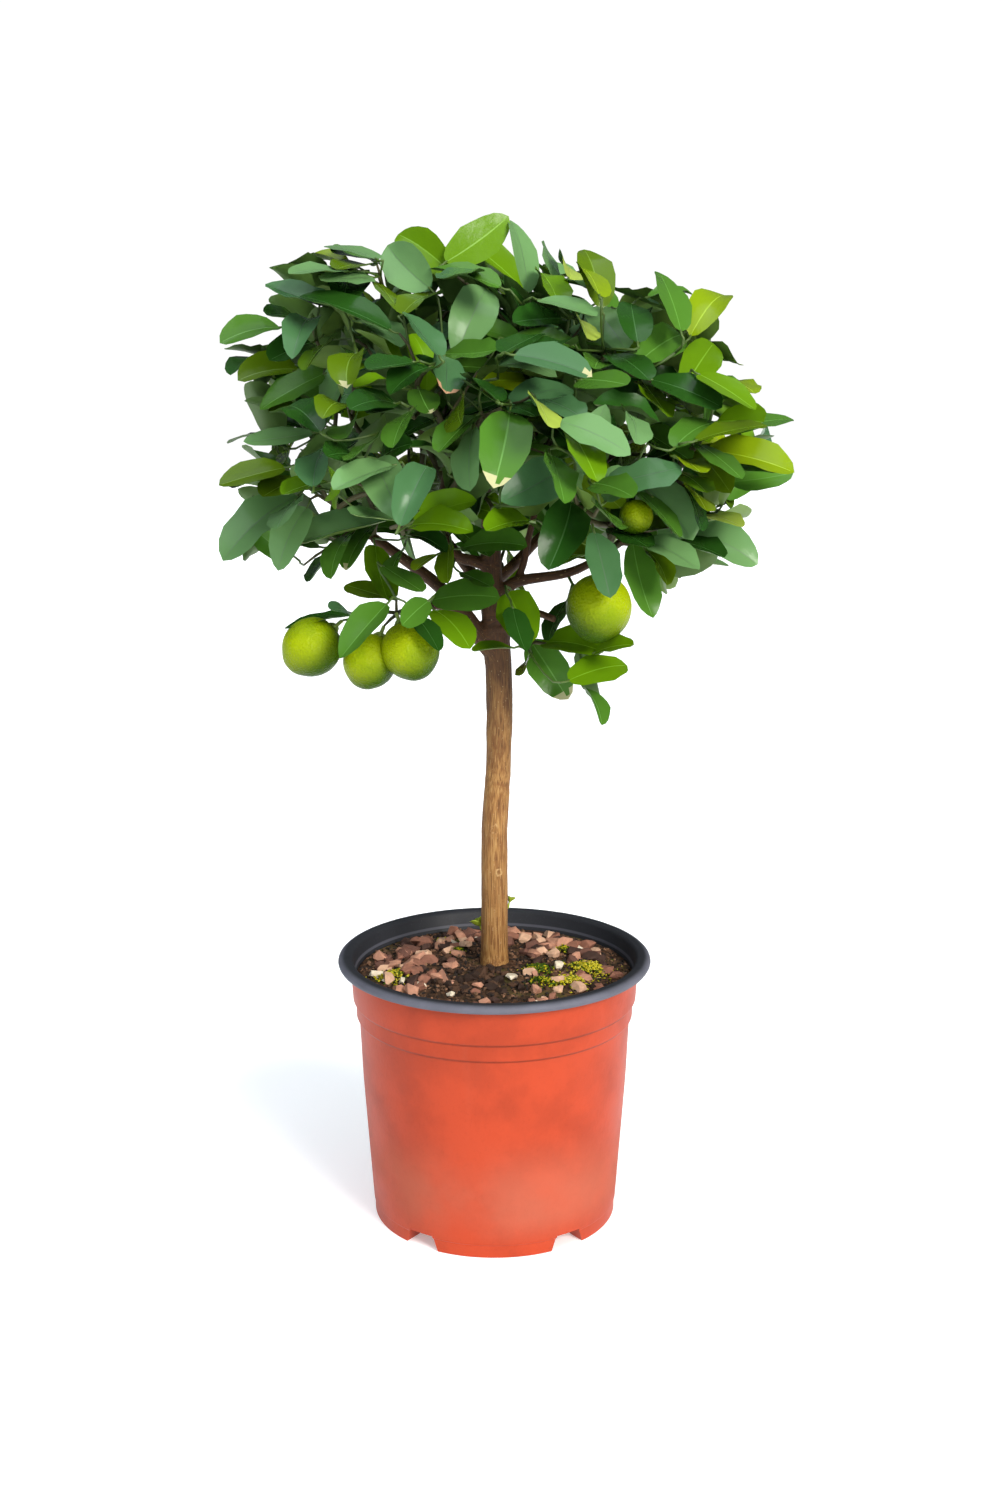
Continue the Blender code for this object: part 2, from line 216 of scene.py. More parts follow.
SEEN_LEAVES = (
    # At the top
    Seen((447, 266), (394, 228), 40, "bright"),
    Seen((449, 262), (512, 216), 42, "bright"),
    Seen((531, 288), (514, 215), 24, "pale", 1),
    Seen((424, 286), (382, 243), 46, "pale", 1),
    Seen((500, 283), (428, 264), 14, "mid", 1),
    Seen((478, 268), (445, 277), 10, "sheen"),
    Seen((459, 346), (489, 279), 50, "pale"),
    Seen((438, 352), (404, 308), 20, "sheen"),
    Seen((400, 310), (376, 278), 16, "olive"),
    Seen((402, 308), (438, 288), 15, "olive"),
    Seen((443, 354), (498, 350), 20, "mid"),
    Seen((505, 350), (542, 331), 18, "deep"),
    Seen((564, 316), (514, 320), 24, "deep"),
    Seen((516, 351), (594, 373), 28, "sheen", 0, "cream"),
    # At the top right
    Seen((603, 299), (585, 240), 36, "olive"),
    Seen((600, 290), (582, 262), 16, "yellow"),
    Seen((597, 290), (556, 276), 6, "mid", 1),
    Seen((553, 274), (547, 244), 14, "pale", 1),
    Seen((573, 275), (564, 258), 9, "fresh", 1),
    Seen((560, 300), (542, 267), 25, "bright"),
    Seen((541, 298), (598, 315), 14, "pale"),
    Seen((590, 303), (627, 346), 36, "pale"),
    Seen((637, 336), (630, 297), 36, "deep"),
    Seen((683, 330), (640, 358), 40, "mid"),
    Seen((682, 326), (660, 267), 26, "mid"),
    Seen((693, 325), (727, 284), 38, "yellow"),
    Seen((686, 384), (716, 338), 42, "bright"),
    Seen((700, 372), (757, 408), 20, "bright"),
    Seen((722, 378), (758, 390), 10, "yellow", 1),
    Seen((654, 377), (725, 405), 28, "deep"),
    Seen((643, 381), (668, 415), 18, "bright"),
    Seen((578, 313), (590, 335), 12, "fresh"),
    Seen((610, 350), (650, 376), 24, "deep"),
    Seen((580, 378), (627, 383), 22, "mid"),
    Seen((676, 440), (720, 416), 28, "mid"),
    Seen((643, 428), (692, 459), 32, "mid"),
    Seen((630, 408), (640, 440), 22, "pale", 1),
    # At the top left
    Seen((376, 256), (324, 243), 9, "pale"),
    Seen((374, 258), (333, 250), 8, "mid", 1),
    Seen((370, 262), (334, 267), 10, "olive"),
    Seen((345, 268), (287, 271), 10, "pale"),
    Seen((372, 276), (321, 280), 16, "pale"),
    Seen((332, 305), (263, 284), 20, "sheen"),
    Seen((388, 324), (297, 290), 20, "deep"),
    Seen((278, 322), (218, 338), 26, "mid"),
    Seen((305, 318), (268, 312), 10, "deep", 1),
    Seen((310, 308), (292, 348), 36, "sheen"),
    Seen((298, 364), (237, 375), 30, "olive"),
    Seen((312, 340), (270, 358), 28, "deep", 1),
    Seen((326, 340), (304, 367), 12, "bright"),
    Seen((352, 347), (343, 382), 38, "olive", 0, "cream"),
    Seen((358, 315), (404, 342), 20, "pale"),
    Seen((412, 361), (365, 368), 16, "deep"),
    Seen((428, 362), (388, 390), 30, "deep"),
    Seen((446, 352), (448, 390), 36, "sheen", 0, "brown"),
    # At the left
    Seen((322, 372), (258, 408), 26, "mid"),
    Seen((318, 424), (286, 398), 34, "deep", 1),
    Seen((345, 398), (322, 410), 26, "olive"),
    Seen((312, 433), (242, 442), 18, "pale"),
    Seen((284, 458), (290, 440), 12, "olive", 1),
    Seen((284, 466), (217, 484), 24, "olive"),
    Seen((275, 468), (232, 487), 10, "deep"),
    Seen((298, 476), (263, 495), 26, "olive"),
    Seen((310, 482), (321, 440), 33, "sheen", 1),
    Seen((330, 478), (283, 491), 16, "bright"),
    Seen((292, 491), (217, 557), 40, "pale"),
    Seen((295, 497), (275, 527), 18, "pale"),
    Seen((303, 505), (274, 569), 38, "pale", 1),
    Seen((385, 517), (286, 543), 26, "pale", 0, "cream"),
    Seen((375, 437), (352, 457), 7, "mid"),
    Seen((408, 408), (390, 445), 22, "mid"),
    Seen((370, 522), (342, 568), 26, "mid", 0, "cream"),
    Seen((348, 528), (326, 575), 20, "mid", 1),
    Seen((335, 545), (308, 580), 8, "deep", 1),
    Seen((395, 398), (350, 404), 22, "deep"),
    Seen((362, 455), (328, 452), 22, "deep", 1),
    # In the middle
    Seen((511, 402), (575, 382), 30, "sheen", 1),
    Seen((538, 398), (550, 424), 18, "fresh", -1),
    Seen((535, 395), (583, 414), 22, "sheen"),
    Seen((508, 404), (536, 414), 20, "deep", 1),
    Seen((512, 408), (496, 484), 56, "mid", 0, "cream"),
    Seen((470, 425), (467, 488), 30, "pale", 1),
    Seen((476, 412), (438, 449), 26, "mid"),
    Seen((458, 398), (457, 424), 20, "olive"),
    Seen((500, 398), (463, 372), 9, "deep"),
    Seen((495, 398), (470, 383), 8, "deep"),
    Seen((552, 452), (566, 501), 28, "mid"),
    Seen((562, 418), (634, 452), 32, "pale"),
    Seen((568, 422), (599, 479), 30, "bright"),
    Seen((398, 512), (372, 452), 48, "pale"),
    Seen((402, 515), (430, 455), 46, "sheen"),
    Seen((392, 462), (331, 487), 24, "pale"),
    Seen((408, 520), (471, 526), 28, "bright"),
    Seen((400, 519), (351, 513), 10, "pale"),
    Seen((532, 516), (487, 526), 24, "bright"),
    Seen((575, 498), (552, 567), 52, "deep"),
    Seen((594, 480), (634, 494), 28, "mid"),
    Seen((608, 484), (685, 466), 32, "sheen"),
    Seen((632, 470), (697, 537), 42, "pale"),
    Seen((640, 490), (682, 536), 14, "mid", 1),
    # At the right
    Seen((708, 446), (797, 468), 32, "yellow"),
    Seen((697, 437), (768, 422), 14, "olive"),
    Seen((728, 428), (795, 415), 18, "mid", 1),
    Seen((716, 420), (764, 420), 30, "bright", 1),
    Seen((693, 444), (731, 490), 40, "olive"),
    Seen((700, 443), (744, 478), 18, "mid", 1),
    Seen((676, 468), (708, 490), 18, "bright", -1),
    Seen((678, 455), (702, 470), 14, "yellow", -1),
    Seen((690, 484), (707, 508), 12, "yellow"),
    Seen((685, 478), (705, 532), 12, "deep"),
    Seen((703, 512), (742, 524), 14, "fresh"),
    Seen((692, 528), (761, 560), 38, "pale"),
    Seen((676, 538), (725, 554), 16, "deep", 1),
    Seen((646, 536), (700, 567), 26, "pale"),
    Seen((632, 545), (652, 620), 36, "mid", back=-74),
    Seen((650, 548), (671, 583), 18, "olive", back=-50),
    Seen((612, 526), (649, 546), 20, "deep"),
    Seen((630, 530), (666, 526), 16, "olive", 1),
    Seen((595, 532), (611, 598), 36, "sheen", back=-98),
    Seen((603, 507), (614, 522), 10, "mid"),
    # Below
    Seen((385, 603), (338, 658), 32, "mid", back=-100),
    Seen((355, 612), (282, 627), 9, "deep", back=-88),
    Seen((352, 612), (331, 607), 10, "sheen", back=-84),
    Seen((428, 600), (401, 625), 28, "mid", back=-98),
    Seen((432, 597), (501, 594), 34, "mid", back=-46),
    Seen((436, 606), (472, 645), 30, "bright", back=-42),
    Seen((418, 616), (440, 650), 22, "deep", back=-97),
    Seen((374, 546), (387, 602), 32, "bright", back=-64),
    Seen((388, 597), (344, 584), 20, "olive", back=-50),
    Seen((384, 566), (424, 592), 20, "mid", back=-58),
    Seen((448, 542), (446, 582), 20, "olive", back=-44),
    Seen((437, 552), (413, 569), 10, "yellow", back=-52),
    Seen((510, 549), (511, 580), 12, "olive", back=24),
    Seen((508, 592), (532, 643), 44, "bright", back=-46),
    Seen((531, 641), (569, 700), 42, "mid", 0, "cream", -66),
    Seen((541, 638), (604, 647), 30, "bright", back=-40),
    Seen((594, 650), (634, 642), 14, "bright", back=-34),
    Seen((564, 600), (546, 640), 18, "deep", back=-14),
    Seen((572, 676), (631, 661), 30, "bright", back=-50),
    Seen((588, 686), (606, 724), 14, "mid", back=-54),
    Seen((512, 608), (525, 652), 26, "deep", back=-64),
    Seen((586, 552), (551, 566), 8, "bright", back=-24),
    Seen((462, 543), (528, 541), 26, "mid", back=-42),
    Seen((448, 520), (492, 556), 24, "mid", back=-16),
    Seen((410, 530), (448, 548), 18, "deep", back=-30),
    Seen((400, 548), (388, 578), 14, "mid", back=-20),
    Seen((462, 572), (492, 586), 16, "mid", back=-14),
    Seen((528, 656), (521, 673), 7, "olive", back=-40),
    Seen((511, 645), (472, 649), 9, "bright", back=-30),
)

# Places where the picture shows sky through, between or round the leaves: pixel of the centre, and half
# sizes. A leaf or twig may come into the outer part of each.
SKY = (
    (365, 612, 22, 26), (562, 590, 10, 12), (630, 585, 14, 18), (348, 341, 7, 4), (373, 352, 7, 6),
    (329, 378, 7, 6), (311, 387, 10, 4), (337, 419, 14, 8), (361, 422, 5, 9), (320, 425, 6, 8),
    (305, 436, 16, 5), (292, 457, 8, 12), (315, 498, 13, 7), (393, 418, 6, 7), (412, 398, 4, 3),
    (437, 434, 4, 5), (540, 464, 8, 6), (584, 470, 4, 5), (510, 498, 9, 8), (667, 354, 4, 5),
    (672, 373, 4, 5), (511, 261, 11, 12), (579, 289, 18, 8), (606, 302, 7, 5), (673, 433, 6, 7),
    (671, 400, 6, 5), (731, 437, 8, 5), (686, 500, 8, 12), (671, 533, 10, 8), (398, 562, 11, 6),
    (398, 552, 9, 5), (412, 544, 8, 6), (430, 588, 9, 9), (440, 577, 7, 7), (458, 567, 5, 4),
    (474, 572, 7, 5), (396, 586, 5, 6), (384, 622, 10, 6), (432, 614, 6, 9), (560, 575, 26, 12),
    (540, 560, 12, 14), (515, 560, 12, 14), (628, 562, 10, 11), (365, 540, 7, 6), (355, 556, 9, 12),
    (350, 235, 40, 14), (455, 226, 10, 14), (540, 232, 24, 20), (620, 262, 16, 24), (700, 268, 20, 12),
    (775, 380, 16, 22), (250, 305, 14, 10), (225, 405, 22, 22), (225, 460, 16, 10), (230, 510, 14, 14),
    (320, 560, 16, 18), (320, 585, 20, 12), (770, 500, 40, 14), (730, 600, 50, 34), (500, 690, 30, 60),
    (330, 600, 40, 10), (605, 655, 16, 5), (570, 255, 10, 12), (268, 602, 36, 24), (205, 500, 12, 20),
    (702, 262, 36, 16), (243, 418, 14, 14), (238, 459, 20, 8), (748, 318, 22, 24), (795, 437, 22, 10),
    (215, 372, 14, 10), (752, 352, 14, 16), (392, 222, 26, 12), (480, 214, 14, 8), (640, 268, 18, 16),
    (215, 358, 14, 8), (662, 606, 12, 12), (748, 368, 9, 9), (766, 390, 7, 14), (728, 322, 9, 12),
    (637, 626, 11, 22),
)
SKY_SHARE = 0.85
SKY_CENTRES = np.array(SKY, float)[:, :2]
SKY_REACHES = np.array(SKY)[:, 2:] * SKY_SHARE

# Limes in the picture: pixel of the centre, radius in pixels, distance back, pixel that the stalk end faces
Lime = namedtuple("Lime", "centre radius back stalk")
SEEN_LIMES = (
    Lime((312, 647), 29.5, -70, (345, 618)),
    Lime((370, 661), 27.0, -64, (384, 626)),
    Lime((410.5, 650), 29.3, -72, (398, 618)),
    Lime((598.8, 607.5), 33.0, -62, (606, 566)),
    Lime((636, 517), 17.0, -58, (650, 500)),
)

# Length of a lime's stalk, in millimetres, and how many lobes its foot has
STALK_LENGTH = 7
CALYX_LOBES = 5

# Limes on the far side: centre, and radius, in millimetres
FAR_LIMES = (
    ((-58, 158, 508), 20.0),
    ((8, 172, 540), 18.5),
    ((92, 146, 530), 20.5),
    ((148, 98, 536), 19.0),
    ((-92, 130, 512), 19.5),
)

# Finishes of the rest
TERRACOTTA = (0.43, 0.047, 0.012)
CHALK = (0.42, 0.122, 0.073)
RIM_BLACK = (0.018, 0.019, 0.024)
# Grey of the rim's lip: painted sheen, broken up by dust
RIM_DUST_AND_SHEEN = (0.112, 0.113, 0.142)
# Width of the painted shadow lines under the pot's band steps, in metres
CREASE_SHADOW_WIDTH = 0.0006
BARK_TAN = (0.315, 0.150, 0.043)
# Bark above the fork: a redder brown, darkened with painted shade
BARK_RED_AND_SHADED = (0.040, 0.017, 0.007)
LIME_LIT = (0.300, 0.375, 0.001)
LIME_MIDDLE = (0.140, 0.240, 0.001)
# Painted shade on the side of a lime that faces away from the light
LIME_PAINTED_SHADE = (0.018, 0.060, 0.001)
EARTH = (0.017, 0.010, 0.006)


class Value:
    """A number that varies over a surface, so that sums on it are written as sums."""

    def __init__(self, finish, socket):
        self.finish = finish
        self.socket = socket

    def maths(self, operation, first, second=0.0):
        node = self.finish.add("ShaderNodeMath", {"operation": operation}, {0: first, 1: second})
        return Value(self.finish, node.outputs[0])

    def __add__(self, other):
        return self.maths("ADD", self, other)

    def __radd__(self, other):
        return self.maths("ADD", other, self)

    def __sub__(self, other):
        return self.maths("SUBTRACT", self, other)

    def __rsub__(self, other):
        return self.maths("SUBTRACT", other, self)

    def __mul__(self, other):
        return self.maths("MULTIPLY", self, other)

    def __rmul__(self, other):
        return self.maths("MULTIPLY", other, self)

    def between(self, low, high):
        """0 below low and 1 above high, with a smooth rise from one to the other."""
        settings = {"interpolation_type": "SMOOTHSTEP"}
        node = self.finish.add("ShaderNodeMapRange", settings, {0: self, 1: low, 2: high})
        return Value(self.finish, node.outputs[0])


class Finish:
    """A material, built node by node."""

    def __init__(self, name, roughness=0.5, **constants):
        self.material = bpy.data.materials.new(name)
        self.material.use_nodes = True
        self.tree = self.material.node_tree
        self.shader = self.tree.nodes["Principled BSDF"]
        self.shader.inputs["Roughness"].default_value = roughness
        for socket, value in constants.items():
            self.shader.inputs[socket.replace("_", " ")].default_value = value

    def put(self, socket, value):
        if isinstance(value, Value):
            value = value.socket
        if isinstance(value, bpy.types.NodeSocket):
            self.tree.links.new(value, socket)
        elif isinstance(value, tuple) and socket.type == "RGBA":
            socket.default_value = (*value, 1.0)
        else:
            socket.default_value = value

    def add(self, kind, settings=None, sockets=None):
        node = self.tree.nodes.new(kind)
        for setting, value in (settings or {}).items():
            setattr(node, setting, value)
        for socket, value in (sockets or {}).items():
            self.put(node.inputs[socket], value)
        return node

    def place(self):
        return self.add("ShaderNodeTexCoord").outputs["Object"]

    def height(self):
        return Value(self, self.add("ShaderNodeSeparateXYZ", None, {0: self.place()}).outputs["Z"])

    def attribute(self, name, kind="Vector"):
        return self.add("ShaderNodeAttribute", {"attribute_name": name}).outputs[kind]

    def stretched(self, vector, scale):
        node = self.add("ShaderNodeMapping", None, {"Vector": vector, "Scale": Vector(scale)})
        return node.outputs[0]

    def noise(self, vector, scale, detail=3.0, roughness=0.55):
        sockets = {"Vector": vector, "Scale": scale, "Detail": detail, "Roughness": roughness}
        return Value(self, self.add("ShaderNodeTexNoise", None, sockets).outputs[0])

    def cells(self, vector, scale):
        node = self.add("ShaderNodeTexVoronoi", {"feature": "F1"}, {"Vector": vector, "Scale": scale})
        return Value(self, node.outputs["Distance"])

    def mix(self, factor, first, second):
        sockets = {0: factor, 6: first, 7: second}
        return self.add("ShaderNodeMix", {"data_type": "RGBA"}, sockets).outputs[2]

    def paint(self, colour, roughness=None):
        self.put(self.shader.inputs["Base Color"], colour)
        if roughness is not None:
            self.put(self.shader.inputs["Roughness"], roughness)
        return self

    def bump(self, height, strength, distance):
        sockets = {"Height": height, "Strength": strength, "Distance": distance}
        node = self.add("ShaderNodeBump", None, sockets)
        self.put(self.shader.inputs["Normal"], node.outputs[0])
        return self


def plain_finish(name, colour, roughness, **constants):
    return Finish(name, roughness, **constants).paint(colour).material


def leaf_finish(name, colour, roughness):
    """One plain colour with a leathery skin."""
    finish = Finish(name, roughness, Specular_IOR_Level=0.17)
    skin = finish.noise(finish.place(), 170.0, 2.0, 0.5)
    return finish.paint(colour).bump(skin, 0.22, 0.0010).material


def darker(colour, share):
    return tuple(part * share for part in colour)


def pot_finish(plastic):
    """Moulded plastic, faintly mottled and scuffed, with a chalky bloom low on the wall and painted shadow
    lines under the band steps.
    """
    finish = Finish("pot_plastic", 0.42, Specular_IOR_Level=0.22)
    place = finish.place()
    height = finish.height()
    mottle = finish.noise(place, 26.0, 5.0, 0.6)
    speckle = finish.noise(place, 420.0, 2.0, 0.5)
    streak = finish.noise(finish.stretched(place, (90.0, 90.0, 9.0)), 1.0, 3.0)
    low = height.between(0.004, 0.030) * (1.0 - height.between(0.040, 0.095))
    cloud = finish.noise(place, 14.0, 4.0, 0.5)
    bloom = low * cloud.between(0.30, 0.66) * 0.55 + streak.between(0.62, 0.80) * 0.05
    shade = mottle.between(0.38, 0.68) * 0.5 + speckle.between(0.55, 0.75) * 0.15
    colour = finish.mix(shade, plastic, darker(plastic, 0.62))
    colour = finish.mix(bloom, colour, CHALK)
    # Painted shadow: a dark line at each band step, where its overhang shades the wall below
    for shadow_crease in (LOWER_BAND[1] * MM - 0.001, LOWER_BAND_TOP[1] * MM + 0.0008):
        line = height.between(shadow_crease - CREASE_SHADOW_WIDTH * 2, shadow_crease - CREASE_SHADOW_WIDTH)
        line = line * (1.0 - height.between(shadow_crease + CREASE_SHADOW_WIDTH, shadow_crease + CREASE_SHADOW_WIDTH * 2))
        colour = finish.mix(line * 0.55, colour, darker(plastic, 0.30))
    finish.paint(colour, 0.36 + mottle * 0.16 + bloom * 0.5)
    finish.bump(mottle * 0.6 + speckle * 0.25, 0.25, 0.0012)
    return finish.material


def rim_finish(plastic):
    """Blue-black plastic with grey specks; the lip's outer roll is greyer, a painted sheen broken up by
    dust, and a thin band at the ledge is greyer too.
    """
    finish = Finish("rim_plastic", 0.4, Specular_IOR_Level=0.3)
    place = finish.place()
    dust = finish.noise(place, 60.0, 4.0, 0.6)
    speck = finish.noise(place, 900.0, 2.0, 0.5)
    flat = finish.stretched(place, (1.0, 1.0, 0.0))
    length = finish.add("ShaderNodeVectorMath", {"operation": "LENGTH"}, {0: flat})
    radius = Value(finish, length.outputs["Value"])
    height = finish.height()
    # Painted sheen: the lip's outer roll is painted grey like a reflection of the sky, broken up by dust;
    # the ledge gets a thin grey band, and the plastic grey specks
    lip = radius.between(0.1050, 0.1092) * (0.5 + dust * 0.8)
    ledge = height.between(0.1786, 0.1792) * (1.0 - height.between(0.1802, 0.1810)) * 0.5
    dust_and_sheen = lip + ledge + speck.between(0.62, 0.72) * 0.10
    finish.paint(finish.mix(dust_and_sheen, plastic, RIM_DUST_AND_SHEEN), 0.50 + dust * 0.25)
    finish.bump(dust, 0.2, 0.0008)
    return finish.material


def compost_finish(earth):
    """Moist crumbly earth with greener patches."""
    finish = Finish("compost", 0.92, Specular_IOR_Level=0.2)
    place = finish.place()
    crumb = finish.cells(place, 300.0)
    fibre = finish.noise(place, 180.0, 5.0, 0.65)
    patch = finish.noise(place, 28.0, 3.0)
    colour = finish.mix(fibre.between(0.35, 0.70), earth, (0.115, 0.055, 0.028))
    colour = finish.mix(patch.between(0.52, 0.66) * 0.55, colour, (0.10, 0.085, 0.02))
    finish.paint(colour)
    finish.bump(crumb * 0.8 + fibre * 0.6, 0.7, 0.0016)
    return finish.material


def bark_finish(tan):
    """Tan bark with fine upright streaks and pale pores, painted dark above the fork: partly a redder brown
    of its own, mostly painted shade.
    """
    finish = Finish("bark", 0.70, Specular_IOR_Level=0.3)
    grain = finish.attribute("grain")
    height = finish.height()
    streak = finish.noise(finish.stretched(grain, (1500.0, 1500.0, 110.0)), 1.0, 4.0, 0.62)
    fine = finish.noise(finish.stretched(grain, (3600.0, 3600.0, 420.0)), 1.0, 2.0, 0.5)
    patch = finish.noise(finish.stretched(grain, (150.0, 150.0, 60.0)), 1.0, 3.0)
    pores = finish.cells(finish.stretched(grain, (430.0, 430.0, 300.0)), 1.0)
    scar = Value(finish, finish.attribute("scar", "Fac"))
    red = finish.mix(patch.between(0.40, 0.62), tan, (0.22, 0.090, 0.024))
    light = finish.mix(streak.between(0.50, 0.64) * 0.75, red, (0.44, 0.265, 0.092))
    dark = finish.mix((1.0 - streak.between(0.37, 0.48)) * 0.8, light, (0.11, 0.045, 0.013))
    # Painted shade: above the fork the bark turns dark, partly its own redder brown, mostly the shade under
    # the crown
    upper = finish.mix(streak.between(0.40, 0.62) * 0.7, BARK_RED_AND_SHADED, (0.095, 0.040, 0.013))
    wander = height + (patch - 0.5) * 0.05
    colour = finish.mix(wander.between(0.305, 0.425), dark, upper)
    colour = finish.mix((1.0 - pores.between(0.10, 0.17)) * 0.4, colour, (0.44, 0.31, 0.15))
    colour = finish.mix(scar.between(0.2, 0.9) * 0.75, colour, (0.60, 0.40, 0.17))
    finish.paint(colour, 0.55 + streak * 0.25)
    finish.bump(streak * 0.7 + fine * 0.4, 0.6, 0.0006)
    return finish.material


def lime_finish(lit):
    """Pebbled rind with greener patches, yellow-green towards the light and painted shade, dark green, on
    the side away from it.
    """
    finish = Finish("lime_rind", 0.34, Specular_IOR_Level=0.10)
    place = finish.place()
    patch = finish.noise(place, 38.0, 3.0)
    pebble = finish.cells(place, 620.0)
    sunny = Value(finish, finish.attribute("sunny", "Fac"))
    # Painted shade: the rind turns dark green on the side that faces away from the light
    away = (1.0 - sunny.between(0.22, 0.92)) * 0.95
    colour = finish.mix(patch.between(0.42, 0.66) * 0.5, lit, LIME_MIDDLE)
    colour = finish.mix(away, colour, LIME_PAINTED_SHADE)
    colour = finish.mix((1.0 - pebble.between(0.04, 0.22)) * 0.25, colour, (0.42, 0.52, 0.04))
    finish.paint(colour, 0.30 + patch * 0.12)
    finish.bump(pebble, 0.55, 0.0012)
    return finish.material


@functools.cache
def leaf_finishes():
    """Every plain colour that a leaf or part of a leaf can have, by name."""
    finishes = {}
    for tint, colour in TINTS.items():
        for index, shade in enumerate(TINT_SHADES):
            name = f"leaf_{tint}_{index + 1}"
            shaded = tuple(share * shade for share in colour)
            finishes[tint, index] = leaf_finish(name, shaded, GLOSS[index])
        change = RIB_DARKER if tint in PALE_TINTS else RIB_PALER
        rib = tuple(min(share * change, 0.6) for share in colour)
        finishes[tint, "rib"] = plain_finish(f"leaf_{tint}_rib", rib, 0.5)
    finishes["under"] = plain_finish("leaf_under", (0.060, 0.130, 0.018), 0.6)
    finishes["under_pale"] = plain_finish("leaf_under_pale", (0.120, 0.210, 0.030), 0.6)
    finishes["cream"] = leaf_finish("leaf_end_cream", (0.44, 0.43, 0.22), 0.6)
    finishes["brown"] = leaf_finish("leaf_end_scorched", (0.46, 0.25, 0.14), 0.7)
    return finishes


def scaled(mesh, factor):
    bmesh.ops.scale(mesh, vec=(factor, factor, factor), verts=mesh.verts)
    return mesh


def as_data(name, mesh):
    """A bmesh as a mesh of Blender's own. The bmesh is freed."""
    data = bpy.data.meshes.new(name)
    mesh.to_mesh(data)
    mesh.free()
    return data


def linked(name, data):
    thing = bpy.data.objects.new(name, data)
    bpy.context.scene.collection.objects.link(thing)
    return thing


def add_piece(name, mesh, materials, nodes=(), sharp_degrees=None):
    """Turns a bmesh, worked in millimetres, into a piece of the object in metres."""
    finish_piece(name, as_data(name, scaled(mesh, MM)), materials, nodes, sharp_degrees)


def finish_piece(name, data, materials, nodes=(), sharp_degrees=None):
    """Makes a mesh in metres a piece of the object, in the place of the nodes that are named."""
    data.shade_smooth()
    if sharp_degrees:
        data.set_sharp_from_angle(angle=math.radians(sharp_degrees))
    for material in materials:
        data.materials.append(material)
    piece = linked(name, data)
    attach(piece, "root")
    if nodes:
        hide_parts(*nodes)


class Heap:
    """Many small shapes, gathered into one mesh."""

    def __init__(self):
        self.mesh = bmesh.new()
        self.spare = bpy.data.meshes.new("spare")

    def add(self, small, finish=0):
        """Takes in a small bmesh, all of it in one of the piece's finishes, and frees it."""
        for face in small.faces:
            face.material_index = finish
        small.to_mesh(self.spare)
        small.free()
        self.mesh.from_mesh(self.spare)

    def taken(self):
        """The gathered mesh, to which nothing more is added."""
        bpy.data.meshes.remove(self.spare)
        return self.mesh

    def add_piece(self, name, materials, slot, sharp_degrees=None):
        add_piece(name, self.taken(), materials, (), sharp_degrees)


def camera_axes():
    """Right, up and forward of the camera."""
    pan = math.radians(CAMERA_PAN)
    pitch = math.radians(CAMERA_PITCH)
    right = Vector((math.cos(pan), -math.sin(pan), 0))
    level = Vector((math.sin(pan), math.cos(pan), 0))
    forward = level * math.cos(pitch) - UP * math.sin(pitch)
    return right, right.cross(forward), forward


RIGHT, UPWARD, FORWARD = camera_axes()
EYE = Vector(CAMERA_PLACE) / MM


def pixel_ray(pixel):
    """From the camera through a pixel, as long as one unit of depth."""
    across = (pixel[0] - PICTURE_WIDTH / 2) / FOCAL_PIXELS
    above = (PICTURE_HEIGHT / 2 - pixel[1]) / FOCAL_PIXELS
    return RIGHT * across + UPWARD * above + FORWARD


def from_picture(pixel, depth):
    return EYE + pixel_ray(pixel) * depth


def on_plane(pixel, y):
    """The place that a pixel shows, at a given distance behind the pot's axis."""
    ray = pixel_ray(pixel)
    return EYE + ray * ((y - EYE.y) / ray.y)


def to_picture(points):
    """Pixels and depths of an array of places."""
    seen = np.asarray(points, float) - np.array(EYE)
    depth = seen @ np.array(FORWARD)
    x = PICTURE_WIDTH / 2 + FOCAL_PIXELS * (seen @ np.array(RIGHT)) / depth
    y = PICTURE_HEIGHT / 2 - FOCAL_PIXELS * (seen @ np.array(UPWARD)) / depth
    return x, y, depth


def smooth_route(stations, count):
    """Evenly stepped points on a smooth curve through the stations, each a tuple of numbers."""
    padded = [stations[0], *stations, stations[-1]]
    spans = len(stations) - 1
    route = []
    for step in range(count):
        along = step / (count - 1) * spans
        span = min(int(along), spans - 1)
        t = along - span
        point = []
        for a, b, c, d in zip(*padded[span : span + 4]):
            bend = (2 * a - 5 * b + 4 * c - d) * t * t + (3 * b - a - 3 * c + d) * t**3
            point.append(0.5 * (2 * b + (c - a) * t + bend))
        route.append(tuple(point))
    return route


def route_length(stations):
    return sum((Vector(b) - Vector(a)).length for a, b in zip(stations, stations[1:]))


@functools.cache
def limbs():
    """Centre line and radii of the trunk and of each bough, every 1.5 mm."""
    height = TRUNK_STATIONS[-1][0] - TRUNK_STATIONS[0][0]
    rings = smooth_route(TRUNK_STATIONS, int(height / ROUTE_STEP))
    found = {"trunk": ([Vector((x, 0, z)) for z, x, r in rings], [r for z, x, r in rings])}
    for name, (route, (thick, thin)) in BOUGHS.items():
        count = int(route_length(route) / ROUTE_STEP)
        points = [Vector(point) for point in smooth_route(route, count)]
        radii = [thick + (thin - thick) * index / (count - 1) for index in range(count)]
        found[name] = (points, radii)
    return found


def ring_frames(points):
    """A frame at each point of a line, turned no more than the line bends."""
    last = len(points) - 1
    side = Vector((0, 1, 0))
    frames = []
    for index, point in enumerate(points):
        ahead = (points[min(index + 1, last)] - points[max(index - 1, 0)]).normalized()
        if abs(ahead.dot(side)) > 0.98:
            side = ahead.orthogonal()
        side = (side - ahead * side.dot(ahead)).normalized()
        frame_here = Matrix((side.cross(ahead), side, ahead)).transposed().to_4x4()
        frame_here.translation = point
        frames.append(frame_here)
    return frames


